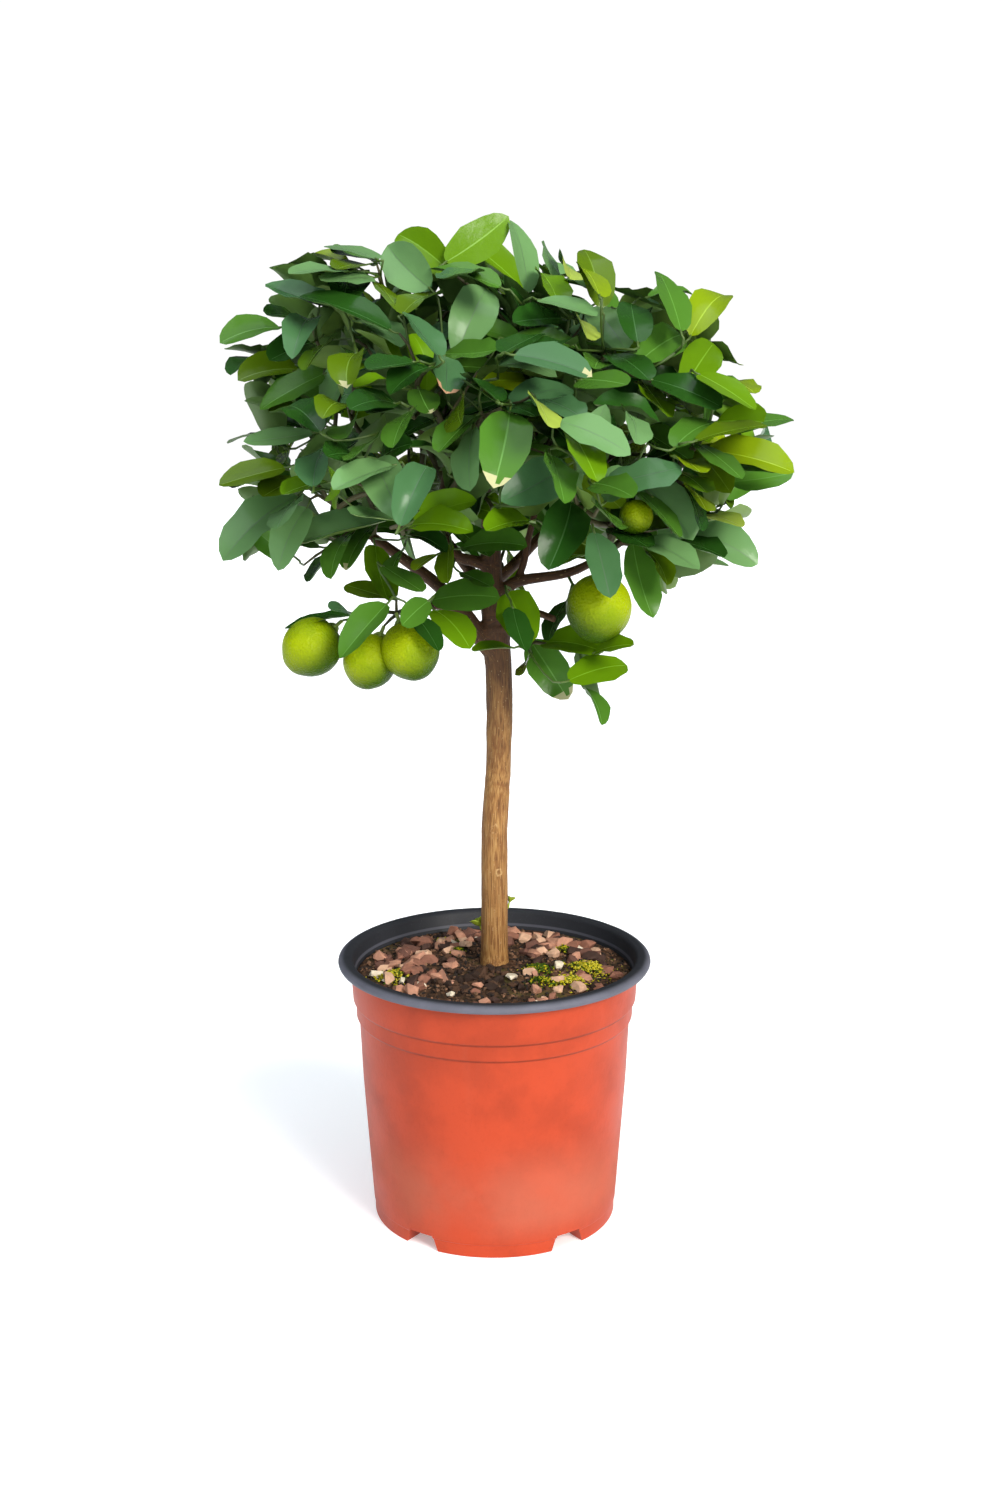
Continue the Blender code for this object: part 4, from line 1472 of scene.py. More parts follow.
class Plant:
    """All that grows on the limbs, in the order in which it is dealt out."""

    def __init__(self, seed, leaf_length):
        self.dice = random.Random(seed)
        self.leaf_length = leaf_length
        self.growth = Growth()
        self.leaves = []
        self.surfaces = []
        self.petioles = []
        self.cover = Cover()
        self.fruit = limes()
        wood = []
        for points, radii in limbs().values():
            wood += [(point, radius) for point, radius in zip(points[::4], radii[::4])]
        self.wood_places = np.array([tuple(point) for point, _ in wood])
        self.wood_radii = np.array([radius for _, radius in wood])
        self.place_seen()
        for centre, radius, _ in self.fruit:
            self.cover.add_ball(centre, radius)
        sprays = spray_places(self.dice)
        self.sprays = [spray for spray in sprays if not self.cover.hides([spray.place]).any()]
        self.spray_ends = []
        self.bearing = []
        self.grow()
        self.place_sprays()
        self.growth.prune(self.bearing)

    def crossings(self, leaf, surface, apart_from=-1):
        """How many leaves that have their place meet this one."""
        middle = leaf.middle()
        found = 0
        for index, (other, other_surface) in enumerate(zip(self.leaves, self.surfaces)):
            near = (other.middle() - middle).length < (leaf.length + other.length) / 2
            if index != apart_from and near and surface.overlap(other_surface):
                found += 1
        return found

    def settling_cost(self, index, leaf, surface, own, prints):
        """What speaks against a leaf in this place: what it meets, and how far past its limits it is."""
        others = [other for place, other in enumerate(prints) if place != index and not own.apart(other)]
        hidden = sum(own.hides(other) + other.hides(own) for other in others)
        beyond = max(0.0, FRONT_LIMIT - leaf.shape(SAMPLES)[:, 1].min())
        outside = -min(crown().depth(leaf.tip), crown().depth(leaf.middle()))
        beyond += OUTSIDE_COST * max(0.0, outside - OUTSIDE_LIMIT)
        return CROSSING_COST * self.crossings(leaf, surface, index) + HIDING_COST * hidden, beyond

    def place_seen(self):
        """The leaves of the picture, in the place where each crosses and hides least.

        Each is moved back or forth on its own rays, and stays near the crown and behind its front limit.
        """
        states = []
        prints = []
        for row in SEEN_LEAVES:
            states.append(self.dice.getstate())
            leaf = make_seen_leaf(row, self.dice, 0)
            self.keep(leaf, leaf.surface())
            prints.append(Footprint(leaf))
        after = self.dice.getstate()
        for _ in range(SETTLING_ROUNDS):
            for index, row in enumerate(SEEN_LEAVES):
                best = None
                for push in SETTLING_STEPS:
                    self.dice.setstate(states[index])
                    leaf = make_seen_leaf(row, self.dice, push)
                    surface = leaf.surface()
                    own = Footprint(leaf)
                    meeting, beyond = self.settling_cost(index, leaf, surface, own, prints)
                    cost = meeting + PUSH_COST * abs(push) + beyond
                    if best is None or cost < best[0]:
                        best = (cost, leaf, surface, own)
                    if cost == 0:
                        break
                _, self.leaves[index], self.surfaces[index], prints[index] = best
        self.dice.setstate(after)
        for leaf in self.leaves:
            self.cover.add(leaf.shape(FINE))

    def keep(self, leaf, surface):
        self.leaves.append(leaf)
        self.surfaces.append(surface)

    def obstacles(self, points):
        """How many blades and fruits a line passes through."""
        found = 0
        for before, after in zip(points, points[1:]):
            step = after - before
            reach = step.length
            for leaf, surface in zip(self.leaves, self.surfaces):
                if (leaf.base + leaf.tip - before - after).length < leaf.length + reach:
                    found += surface.ray_cast(before, step / reach, reach)[0] is not None
            for centre, radius, _ in self.fruit:
                found += 3 * ((after - centre).length < radius + 2.5)
            found += 2 * hides_fruit(after)
        x, y, _ = to_picture(points[1:])
        found = found + TWIG_IN_FRONT * int(self.cover.hides(points[1:]).sum())
        return found + TWIG_IN_SKY * int(in_sky(x, y).sum())

    def grow(self):
        """Shoots to the limes, the sprays and the leaves of the picture, the nearest to the wood first."""
        wanted = []
        for centre, radius, stalk in self.fruit:
            wanted.append((centre + stalk * (radius + STALK_LENGTH), -stalk, "fruit"))
        for leaf in self.leaves:
            wanted.append((leaf.base - leaf.axis * 6.0, (leaf.axis + leaf.normal * 0.4).normalized(), leaf))
        for spray in self.sprays:
            wanted.append((spray.place, spray.direction, spray))
        starts = np.array(self.growth.places)

        def from_wood(item):
            return float(np.min(np.linalg.norm(starts - np.array(item[0]), axis=1)))

        for place, direction, kind in sorted(wanted, key=from_wood):
            end = self.growth.reach(place, direction, self.dice, self.obstacles)
            if isinstance(kind, Spray):
                self.spray_ends.append(end)
            else:
                self.bearing.append(end)
            if isinstance(kind, Leaf):
                self.petioles.append((Vector(self.growth.places[end]), kind))

    def allowed(self, leaf, surface):
        """Whether a leaf keeps to the crown and out of the way of all that has its place."""
        points = leaf.shape(SAMPLES)
        x, y, _ = to_picture(points)
        if in_sky(x, y).any() or crown().depth(leaf.tip) < -OUTSIDE_LIMIT:
            return False
        for centre, radius, _ in self.fruit:
            if np.min(np.linalg.norm(points - np.array(centre), axis=1)) < radius + ROOM_TO_LIME:
                return False
        wood = np.linalg.norm(points[:, None] - self.wood_places[None], axis=2) - self.wood_radii
        if wood.min() < ROOM_TO_WOOD:
            return False
        if self.cover.hides(leaf.shape(FINE), 2.0).mean() > HIDING_SHARE or self.crossings(leaf, surface):
            return False
        return not self.pierced(leaf, surface)

    def pierced(self, leaf, surface):
        """Whether a shoot passes through the leaf."""
        for _, index, _ in self.twig_tree.find_range(leaf.middle(), leaf.length / 2 + 6):
            parent = self.growth.parents[index]
            if parent < 0:
                continue
            start = Vector(self.growth.places[parent])
            step = Vector(self.growth.places[index]) - start
            reach = step.length
            if surface.ray_cast(start, step / reach, reach)[0] is not None:
                return True
        return False

    def place_sprays(self):
        """Leaves set round the end of each shoot, a golden angle apart, the youngest at its tip."""
        dice = self.dice
        self.twig_tree = KDTree(len(self.growth.places))
        for index, place in enumerate(self.growth.places):
            self.twig_tree.insert(place, index)
        self.twig_tree.balance()
        for end in self.spray_ends:
            index = end
            angle = dice.uniform(0, math.tau)
            tint = dice.choice(COMMON_TINTS)
            walked = 0.0
            gap = 0.0
            order = 0
            while order < SPRAY_LEAVES and walked < SPRAY_LENGTH and self.growth.parents[index] >= 0:
                place = Vector(self.growth.places[index])
                ahead = Vector(self.growth.directions[index])
                if walked >= gap:
                    for _ in range(2 if order < 2 else 1):
                        angle += GOLDEN_ANGLE
                        if self.try_leaf(place, ahead, angle, order, tint):
                            self.bearing.append(index)
                        order += 1
                    gap = walked + LEAF_GAP
                parent = self.growth.parents[index]
                walked += (place - Vector(self.growth.places[parent])).length
                index = parent

    def try_leaf(self, place, ahead, angle, order, tint):
        """Sets a leaf on a shoot, in the first direction in which it has room, if there is one."""
        dice = self.dice
        side = ahead.orthogonal().normalized()
        outward = crown().outward(place)
        for attempt in range(DIRECTIONS_TRIED):
            turn = angle + dice.gauss(0, 0.25) + attempt * 0.9
            around = Matrix.Rotation(turn, 3, ahead) @ side
            opening = math.radians(dice.uniform(32, 62) + 5 * order)
            axis = ahead * math.cos(opening) + around * math.sin(opening)
            axis = (axis + outward * 0.35 - UP * dice.uniform(0.0, 0.3)).normalized()
            length = self.leaf_length * dice.triangular(0.74, 1.18, 1.0) * (0.82 if order == 0 else 1.0)
            if attempt > 3:
                length *= 0.82
            normal = UP + outward * 0.8 + ahead * 0.2
            normal += Vector([dice.gauss(0, 0.3) for _ in range(3)])
            base = place + axis * dice.uniform(5.0, 8.0)
            own = tint if dice.random() < OWN_TINT_SHARE else dice.choice(COMMON_TINTS)
            if order == 0 and dice.random() < YELLOW_SHARE:
                own = "yellow"
            leaf = Leaf(base, base + axis * length, normal, dice, own)
            if dice.random() < CREAM_SHARE:
                leaf.end = "cream"
            surface = leaf.surface()
            if self.allowed(leaf, surface):
                self.keep(leaf, surface)
                self.petioles.append((place, leaf))
                return True
        return False


@functools.cache
def plant(seed, leaf_length):
    return Plant(seed, leaf_length)


def make_leaves(grown):
    """The leaves of each mass of foliage, joined into one piece that stands for it."""
    data, places, centres, under = blade()
    finishes = leaf_finishes()
    by_mass = {name: [] for name in foliage_names()}
    for leaf in grown.leaves:
        by_mass[crown().mass_of(leaf.middle())].append(leaf)
    for name, leaves in by_mass.items():
        mesh = bmesh.new()
        used = []
        for leaf in leaves:
            data.vertices.foreach_set("co", leaf.shape(places).ravel())
            wanted = [leaf.face_finish(centre, low) for centre, low in zip(centres, under)]
            used += [key for key in dict.fromkeys(wanted) if key not in used]
            data.polygons.foreach_set("material_index", [used.index(key) for key in wanted])
            mesh.from_mesh(data)
        materials = [finishes[key] for key in used]
        add_piece("leaves_" + name.removeprefix("foliage_"), mesh, materials, [name], 70)


# Radii above which a twig is old, is brown, and has more sides, in millimetres
OLD_TWIG = 2.4
BROWN_TWIG = 1.25
ROUND_TWIG = 2.0
# Most that a twig's foot is thicker than the twig, so that it doesn't take on the limb's thickness
FOOT_SWELLING = 1.25


def make_twigs(grown):
    """Twigs from the limbs to the sprays, brown where they are old and green where they are new."""
    growth = grown.growth
    radii = growth.radii()
    heap = Heap()
    for chain in growth.shoots:
        points = [Vector(growth.places[index]) for index in chain]
        thick = [float(radii[index]) for index in chain]
        thick[0] = min(thick[0], thick[1] * FOOT_SWELLING)
        age = 0 if thick[0] > OLD_TWIG else (1 if thick[0] > BROWN_TWIG else 2)
        heap.add(tube(points, thick, 8 if thick[0] > ROUND_TWIG else 6), age)
    materials = [
        plain_finish("twig_old", (0.060, 0.028, 0.011), 0.75),
        plain_finish("twig_brown", (0.055, 0.050, 0.014), 0.65),
        plain_finish("twig_green", (0.050, 0.095, 0.012), 0.5),
    ]
    heap.add_piece("twigs", materials, "bark")


def make_petioles(grown):
    """A short stalk from the twig to the foot of every leaf."""
    heap = Heap()
    for place, leaf in grown.petioles:
        base = leaf.base + leaf.axis * 1.2
        middle = (place + base) / 2 - leaf.normal * 0.6
        heap.add(tube([place, middle, base], [0.85, 0.75, 0.9], 5))
    heap.add_piece("leaf_stalks", [plain_finish("leaf_stalk", (0.065, 0.120, 0.014), 0.5)], "leaves")


def make_limes(lit):
    """Round fruit, a little long in its stalk's direction, with a low point at the far end."""
    fruit = Heap()
    stalks = Heap()
    for centre, radius, stalk in limes():
        small = bmesh.new()
        bmesh.ops.create_uvsphere(small, u_segments=40, v_segments=26, radius=radius)
        for corner in small.verts:
            share = corner.co.z / radius
            corner.co.z *= 1.03
            corner.co *= 1.0 + 0.045 * math.exp(-(((share + 1) / 0.10) ** 2))
            corner.co *= 1.0 - 0.035 * math.exp(-(((share - 1) / 0.05) ** 2))
            corner.co *= 1.0 + 0.012 * noise.noise(corner.co * 0.06 + centre)
        # How far each point faces up and out of the crown; the rind paints shade where it faces away
        sunny = small.verts.layers.float.new("sunny")
        outward = (centre.xy.normalized().to_3d() * 0.8 + UP).normalized()
        turn = stalk.to_track_quat("Z", "Y").to_matrix().to_4x4()
        bmesh.ops.transform(small, matrix=Matrix.Translation(centre) @ turn, verts=small.verts)
        for corner in small.verts:
            corner[sunny] = 0.5 + 0.5 * (corner.co - centre).normalized().dot(outward)
        fruit.add(small)
        for index in range(CALYX_LOBES):
            angle = math.tau * index / CALYX_LOBES
            out = turn.to_3x3() @ Vector((math.cos(angle), math.sin(angle), 0))
            top = centre + stalk * (radius * 0.99)
            route = [top + stalk * 1.6, top + stalk * 1.0 + out * 2.0, top - stalk * 0.4 + out * 4.4]
            stalks.add(tube(route, [1.5, 1.5, 0.5], 6))
        end = centre + stalk * (radius + STALK_LENGTH)
        route = [centre + stalk * (radius * 0.96), centre + stalk * (radius + 3), end]
        stalks.add(tube(route, [1.7, 1.3, 1.2], 8))
    fruit.add_piece("limes", [lime_finish(lit)], "fruit")
    stalks.add_piece("lime_stalks", [plain_finish("lime_stalk", (0.22, 0.30, 0.06), 0.55)], "leaves")


def rounded(outline, radius):
    """The outline with each of its corners turned into a short curve."""
    made = [outline[0]]
    for before, corner, after in zip(outline, outline[1:], outline[2:]):
        before, corner, after = Vector(before), Vector(corner), Vector(after)
        reach = min(radius, (before - corner).length * 0.45, (after - corner).length * 0.45)
        start = corner + (before - corner).normalized() * reach
        end = corner + (after - corner).normalized() * reach
        for step in range(5):
            t = step / 4
            made.append(tuple(start * (1 - t) ** 2 + corner * 2 * t * (1 - t) + end * t**2))
    made.append(outline[-1])
    return made


def turned(outline, segments, is_ring):
    """A bmesh turned about Z from (radius, height) points. A ring's outline closes on itself."""
    mesh = bmesh.new()
    corners = [mesh.verts.new((radius, 0.0, height)) for radius, height in outline]
    edges = [mesh.edges.new(pair) for pair in zip(corners, corners[1:])]
    if is_ring:
        edges.append(mesh.edges.new((corners[-1], corners[0])))
    around = {"cent": (0, 0, 0), "axis": (0, 0, 1), "angle": math.tau}
    bmesh.ops.spin(mesh, geom=corners + edges, steps=segments, use_merge=True, **around)
    bmesh.ops.remove_doubles(mesh, verts=mesh.verts, dist=0.005)
    bmesh.ops.recalc_face_normals(mesh, faces=mesh.faces)
    return mesh


def level_with(point):
    """The point of the pot's inner face that is level with a point of its outer face."""
    return point[0] - WALL, point[1]


def helper(name, mesh):
    """A thing in metres that takes part in a Boolean and doesn't stay."""
    bmesh.ops.recalc_face_normals(mesh, faces=mesh.faces)
    return linked(name, as_data(name, scaled(mesh, MM)))


def foot_angles():
    return [math.tau * (index + 0.5) / FEET - math.pi / 2 for index in range(FEET)]


def notch_cutter(angle):
    """A wedge through the foot ring, wider at the floor than above."""
    widening = (NOTCH_WIDTH_BELOW - NOTCH_WIDTH_ABOVE) / NOTCH_HEIGHT
    mesh = bmesh.new()
    bmesh.ops.create_cube(mesh, size=1.0)
    for corner in mesh.verts:
        height = NOTCH_HEIGHT if corner.co.z > 0 else -CUTTER_OVERRUN
        width = NOTCH_WIDTH_BELOW - widening * height
        radius = FOOT_RADIUS if corner.co.x > 0 else FOOT_RADIUS - FOOT_WIDTH
        overrun = math.copysign(CUTTER_OVERRUN, corner.co.x)
        corner.co = Vector((radius + overrun, math.copysign(width / 2, corner.co.y), height))
    bmesh.ops.rotate(mesh, verts=mesh.verts, matrix=Matrix.Rotation(angle, 3, "Z"))
    return helper("cutter", mesh)


def drain_cutter(angle):
    mesh = bmesh.new()
    depth = BASE_TOP - BASE_UNDERSIDE + 2 * CUTTER_OVERRUN
    place = Matrix.Rotation(angle, 4, "Z") @ Matrix.Translation((DRAIN_CIRCLE, 0, BASE_TOP))
    wide = {"radius1": DRAIN_RADIUS, "radius2": DRAIN_RADIUS}
    bmesh.ops.create_cone(mesh, cap_ends=True, segments=24, depth=depth, matrix=place, **wide)
    return helper("cutter", mesh)


def cut_away(mesh, cutters):
    """The mesh less every cutter, by exact Booleans."""
    body = helper("uncut", mesh)
    for index, cutter in enumerate(cutters):
        modifier = body.modifiers.new(f"cut_{index}", "BOOLEAN")
        modifier.operation = "DIFFERENCE"
        modifier.solver = "EXACT"
        modifier.object = cutter
    graph = bpy.context.evaluated_depsgraph_get()
    data = bpy.data.meshes.new_from_object(body.evaluated_get(graph))
    for thing in [body, *cutters]:
        bpy.data.objects.remove(thing, do_unlink=True)
    return data


def make_pot(plastic):
    """Tapered wall with two bands and a collar, a base plate, and a foot ring with slanted gaps."""
    outside = [
        (FOOT_RADIUS - FOOT_WIDTH, BASE_UNDERSIDE),
        (FOOT_RADIUS - FOOT_WIDTH, 0.0),
        (FOOT_RADIUS, 0.0),
        (FOOT_RADIUS, FOOT_LINE),
        WALL_FOOT,
        WALL_MIDDLE,
        WALL_TOP,
        LOWER_BAND,
        LOWER_BAND_TOP,
        COLLAR_FOOT,
        COLLAR_TOP,
        level_with(COLLAR_TOP),
    ]
    inside = [
        level_with(COLLAR_FOOT),
        level_with(WALL_TOP),
        level_with(WALL_MIDDLE),
        (WALL_FOOT[0] - WALL, BASE_TOP),
        (0.0, BASE_TOP),
    ]
    mesh = turned([(0.0, BASE_UNDERSIDE), *rounded(outside, CORNER_ROUND), *inside], POT_SEGMENTS, False)
    cutters = [notch_cutter(angle) for angle in foot_angles()]
    cutters += [drain_cutter(angle) for angle in foot_angles()]
    data = cut_away(mesh, cutters)
    data.materials.clear()
    finish_piece("pot_shell", data, [pot_finish(plastic)], ["pot"], 30)


def skin_outside(height):
    """The inner skin's outer radius, which follows the collar's inner face."""
    slope = (COLLAR_TOP[0] - COLLAR_FOOT[0]) / (COLLAR_TOP[1] - COLLAR_FOOT[1])
    return COLLAR_FOOT[0] + slope * (height - COLLAR_FOOT[1]) - WALL - 0.3


def make_rim(plastic):
    """The rolled lip, and the skin that runs down from it to below the compost's edge."""
    lip = [(RIM_RADIUS - inward, RIM_UNDERSIDE + RIM_HEIGHT * share) for inward, share in LIP]
    ledge_edge = skin_outside(LEDGE) - SKIN
    outline = [
        (skin_outside(SKIN_FOOT), SKIN_FOOT),
        (skin_outside(RIM_UNDERSIDE), RIM_UNDERSIDE),
        (RIM_RADIUS - 2.2, RIM_UNDERSIDE),
        *smooth_route(lip, 17),
        (skin_outside(LEDGE), RIM_UNDERSIDE + RIM_HEIGHT * 0.55),
        (ledge_edge + LEDGE_WIDTH / 2, LEDGE),
        (ledge_edge - LEDGE_WIDTH / 2, LEDGE - LEDGE_WIDTH),
        (skin_outside(SKIN_FOOT) - SKIN, SKIN_FOOT),
    ]
    ring = turned(outline, POT_SEGMENTS, True)
    add_piece("rim_ring", ring, [rim_finish(plastic)], ["pot_rim"], 50)


def mound_height(radius):
    """Height of the compost's face, without its lumps, at a distance from the pot's axis."""
    share = min(radius / COMPOST_RADIUS, 1.0)
    for (outer, low), (inner, high) in zip(MOUND, MOUND[1:]):
        if share >= inner:
            t = (outer - share) / (outer - inner)
            return COMPOST_EDGE + (SOIL_LEVEL - COMPOST_EDGE) * (low + (high - low) * t * t * (3 - 2 * t))
    return SOIL_LEVEL


def compost_lumps(point):
    """How far the compost's face stands above its mean height at a place."""
    flat = Vector((point[0], point[1], 0))
    return sum(height * noise.noise(flat * closeness) for height, closeness in LUMPS)


def make_compost(earth):
    """The fill, lumpy on its face, closed below."""
    radii = [COMPOST_RADIUS * share for share in np.linspace(0.99, 0.015, 56)]
    outline = [
        (0.0, BASE_TOP + FILL_GAP / 2),
        (WALL_FOOT[0] - WALL - FILL_GAP, BASE_TOP + FILL_GAP / 2),
        *[(radius - WALL - FILL_GAP, height) for radius, height in (WALL_MIDDLE, WALL_TOP)],
        (COMPOST_RADIUS, COLLAR_FOOT[1]),
        (COMPOST_RADIUS, COMPOST_EDGE),
        *[(radius, mound_height(radius)) for radius in radii],
        (0.0, SOIL_LEVEL),
    ]
    mesh = turned(outline, 180, False)
    for corner in mesh.verts:
        if corner.co.z > COMPOST_EDGE - 0.5 and corner.co.xy.length < COMPOST_RADIUS - 0.5:
            corner.co.z += compost_lumps(corner.co)
    add_piece("compost_fill", mesh, [compost_finish(earth)], ["compost"])


def chip(place, size, dice, points):
    """A small angular stone: the hull of a few points round a place."""
    mesh = bmesh.new()
    flatness = dice.uniform(0.45, 0.8)
    spin = Matrix.Rotation(dice.uniform(0, math.tau), 3, "Z") @ Matrix.Rotation(dice.gauss(0, 0.35), 3, "X")
    for _ in range(points):
        point = Vector([dice.gauss(0, 1) for _ in range(3)]).normalized()
        point = Vector((point.x * size, point.y * size * 0.75, point.z * size * flatness))
        mesh.verts.new(place + spin @ point)
    bmesh.ops.convex_hull(mesh, input=mesh.verts)
    loose = [corner for corner in mesh.verts if not corner.link_faces]
    bmesh.ops.delete(mesh, geom=loose, context="VERTS")
    bmesh.ops.recalc_face_normals(mesh, faces=mesh.faces)
    return mesh


def on_compost(x, y, above=0.0):
    """The place that is so far above the compost's face, over a place on the floor."""
    return Vector((x, y, mound_height(math.hypot(x, y)) + compost_lumps((x, y)) + above))


def topping_place(dice, near, far, low=-180.0, high=180.0):
    """A place on the compost's face, in a sector of it."""
    radius = math.sqrt(dice.uniform(near**2, far**2))
    angle = math.radians(dice.uniform(low, high))
    return on_compost(radius * math.cos(angle), radius * math.sin(angle))


# Topping: how many, sizes, nearest and furthest from the stem, sector in degrees, and colours
CHIPPINGS = (
    (50, (6.0, 9.5), 30, 92, (15, 175), (0, 1, 2, 4)),
    (12, (5.0, 8.0), 52, 92, (-38, 15), (0, 1, 1, 2)),
    (20, (5.0, 9.0), 44, 92, (165, 222), (0, 1, 4)),
    (40, (4.5, 8.0), 22, 90, (0, 190), (2, 3, 3)),
    (18, (4.0, 6.5), 40, 92, (-138, -52), (0, 1, 2)),
    (20, (4.0, 7.5), 28, 90, (-180, 180), (0, 3, 4)),
    (12, (3.2, 6.0), 24, 90, (-180, 180), (5,)),
    (70, (2.6, 5.5), 13, 62, (-165, -70), (6, 6, 7)),
    (60, (2.2, 4.0), 14, 90, (-180, 180), (6, 7)),
)
CHIP_COLOURS = (
    (0.400, 0.195, 0.125),
    (0.230, 0.098, 0.062),
    (0.125, 0.055, 0.038),
    (0.050, 0.025, 0.018),
    (0.520, 0.315, 0.205),
    (0.640, 0.540, 0.410),
    (0.026, 0.013, 0.008),
    (0.065, 0.031, 0.016),
)
# Pale stones that stand out in the picture: place on the compost, and size
PALE_STONES = ((12.0, -33.0, 6.0), (45.0, -8.0, 5.2), (-64.0, -30.0, 4.0), (-30.0, -58.0, 4.2))
PALE_STONE = 5
# How many points the hull of a stone, of a crumb and of a grain of moss is drawn round
STONE_POINTS = 14
CRUMB_POINTS = 7
GRAIN_POINTS = 6


def make_chippings(growth):
    """Angular stones, thick on the left and at the back, and coarse clods among them."""
    dice = random.Random(77)
    heap = Heap()
    for count, (least, most), near, far, sector, colours in CHIPPINGS:
        for _ in range(count):
            size = dice.uniform(least, most) * growth
            place = topping_place(dice, near, far - size, *sector) + UP * size * 0.22
            heap.add(chip(place, size, dice, STONE_POINTS), dice.choice(colours))
    for x, y, size in PALE_STONES:
        heap.add(chip(on_compost(x, y, size * 0.4), size, dice, STONE_POINTS), PALE_STONE)
    materials = []
    for index, colour in enumerate(CHIP_COLOURS):
        finish = Finish(f"chipping_{index + 1}", 0.82, Specular_IOR_Level=0.3)
        dust = finish.noise(finish.place(), 260.0, 4.0, 0.6)
        pale = tuple(min(0.8, share * 1.3) for share in colour)
        finish.paint(finish.mix(dust.between(0.40, 0.70), colour, pale))
        finish.bump(dust, 0.5, 0.0008)
        materials.append(finish.material)
    heap.add_piece("chippings", materials, "compost", 25)


# How many loose crumbs lie on the compost
CRUMBS = 2400


def make_crumbs():
    """Loose crumbs of compost over its face."""
    dice = random.Random(78)
    heap = Heap()
    for _ in range(CRUMBS):
        size = dice.triangular(0.7, 3.0, 1.2)
        place = topping_place(dice, 12, 95) + UP * size * 0.25
        heap.add(chip(place, size, dice, CRUMB_POINTS), dice.choice((0, 0, 1, 2)))
    materials = [
        plain_finish("crumb_dark", (0.016, 0.009, 0.006), 0.95),
        plain_finish("crumb_brown", (0.095, 0.048, 0.024), 0.95),
        plain_finish("crumb_red", (0.220, 0.110, 0.058), 0.95),
    ]
    heap.add_piece("crumbs", materials, "compost", 30)


# Patches of moss: centre on the compost's face, radius, how many grains, and their colours
MOSS = (
    (66, -6, 18, 900, (1, 1, 2, 0)),
    (52, -34, 16, 500, (0, 1, 1, 2)),
    (30, -14, 11, 420, (0, 0, 0, 1)),
    (34, -38, 12, 260, (0, 0, 1)),
    (-72, -18, 14, 420, (0, 1, 1, 2)),
    (50, 34, 12, 150, (0, 1)),
    (-40, 52, 12, 150, (0, 1)),
    (-26, 22, 8, 110, (0, 0, 1)),
)
# How high a patch of moss swells at its middle, in millimetres
CUSHION = 3.2


def make_moss():
    """Granular cushions of moss, made of many small grains."""
    dice = random.Random(79)
    heap = Heap()
    for x, y, spread, count, shades in MOSS:
        for _ in range(count):
            away = abs(dice.gauss(0, 0.5)) * spread
            angle = dice.uniform(0, math.tau)
            grain_x, grain_y = x + away * math.cos(angle), y + away * math.sin(angle)
            if math.hypot(grain_x, grain_y) > COMPOST_RADIUS - 3:
                continue
            size = dice.uniform(0.7, 1.7)
            cushion = CUSHION * math.exp(-2.0 * (away / spread) ** 2)
            place = on_compost(grain_x, grain_y, cushion + size * 0.4)
            heap.add(chip(place, size, dice, GRAIN_POINTS), dice.choice(shades))
    materials = [
        leaf_finish("moss_green", (0.055, 0.105, 0.005), 0.9),
        leaf_finish("moss_yellow", (0.44, 0.37, 0.012), 0.9),
        leaf_finish("moss_pale", (0.64, 0.56, 0.06), 0.9),
    ]
    heap.add_piece("moss", materials, "leaves")


# Shoots on the stem: place on its side, tip, and length of the leaves, and how many leaves each has
SHOOTS = (
    ((-8.0, 3.0, 205.0), (-10.0, 4.0, 209.0), 10.0),
    ((9.0, 4.0, 222.0), (10.5, 5.0, 226.0), 6.5),
)
SHOOT_LEAVES = 5


def make_shoots():
    """Small new shoots that break from the foot of the stem."""
    dice = random.Random(80)
    data, places, _, _ = blade()
    heap = Heap()
    for foot, head, length in SHOOTS:
        foot, head = Vector(foot), Vector(head)
        ahead = (head - foot).normalized()
        middle = (foot + head) / 2 - UP * 1.0
        heap.add(tube([foot, middle, head], [1.0, 0.8, 0.7], 6))
        for index in range(SHOOT_LEAVES):
            around = Matrix.Rotation(GOLDEN_ANGLE * index, 3, ahead) @ ahead.orthogonal().normalized()
            out = (ahead + around * 0.9).normalized()
            reach = length * dice.uniform(0.7, 1.0)
            leaf = Leaf(head, head + out * reach, -around + ahead, dice, "fresh", reach * 0.75)
            data.vertices.foreach_set("co", leaf.shape(places * np.array((1, 1, 0.4))).ravel())
            data.polygons.foreach_set("material_index", [0] * len(data.polygons))
            heap.mesh.from_mesh(data)
    heap.add_piece("stem_shoots", [leaf_finish("shoot_green", (0.30, 0.38, 0.03), 0.5)], "leaves")


def stage_piece(name, mesh, material):
    data = as_data(name, mesh)
    data.materials.append(material)
    piece = linked(name, data)
    return piece


def glowing(name, colour, roughness, strength):
    glow = {"Emission_Color": (1.0, 1.0, 1.0, 1.0), "Emission_Strength": strength}
    return plain_finish(name, colour, roughness, **glow)


def make_floor():
    mesh = bmesh.new()
    bmesh.ops.create_circle(mesh, cap_ends=True, radius=FLOOR_RADIUS, segments=64)
    stage_piece("floor", mesh, glowing("floor_white", (0.94, 0.94, 0.94), 0.8, FLOOR_GLOW))


def make_backdrop():
    """A white wall round the floor, which only the camera sees, so that it adds no light of its own."""
    mesh = bmesh.new()
    wide = {"radius1": FLOOR_RADIUS, "radius2": FLOOR_RADIUS}
    bmesh.ops.create_cone(mesh, segments=64, depth=2 * WALL_HEIGHT, **wide)
    bmesh.ops.reverse_faces(mesh, faces=mesh.faces)
    backdrop = stage_piece("backdrop", mesh, glowing("backdrop_white", (0.0, 0.0, 0.0), 1.0, 1.0))
    for kind_of_light in ("diffuse", "glossy", "transmission", "shadow"):
        setattr(backdrop, "visible_" + kind_of_light, False)


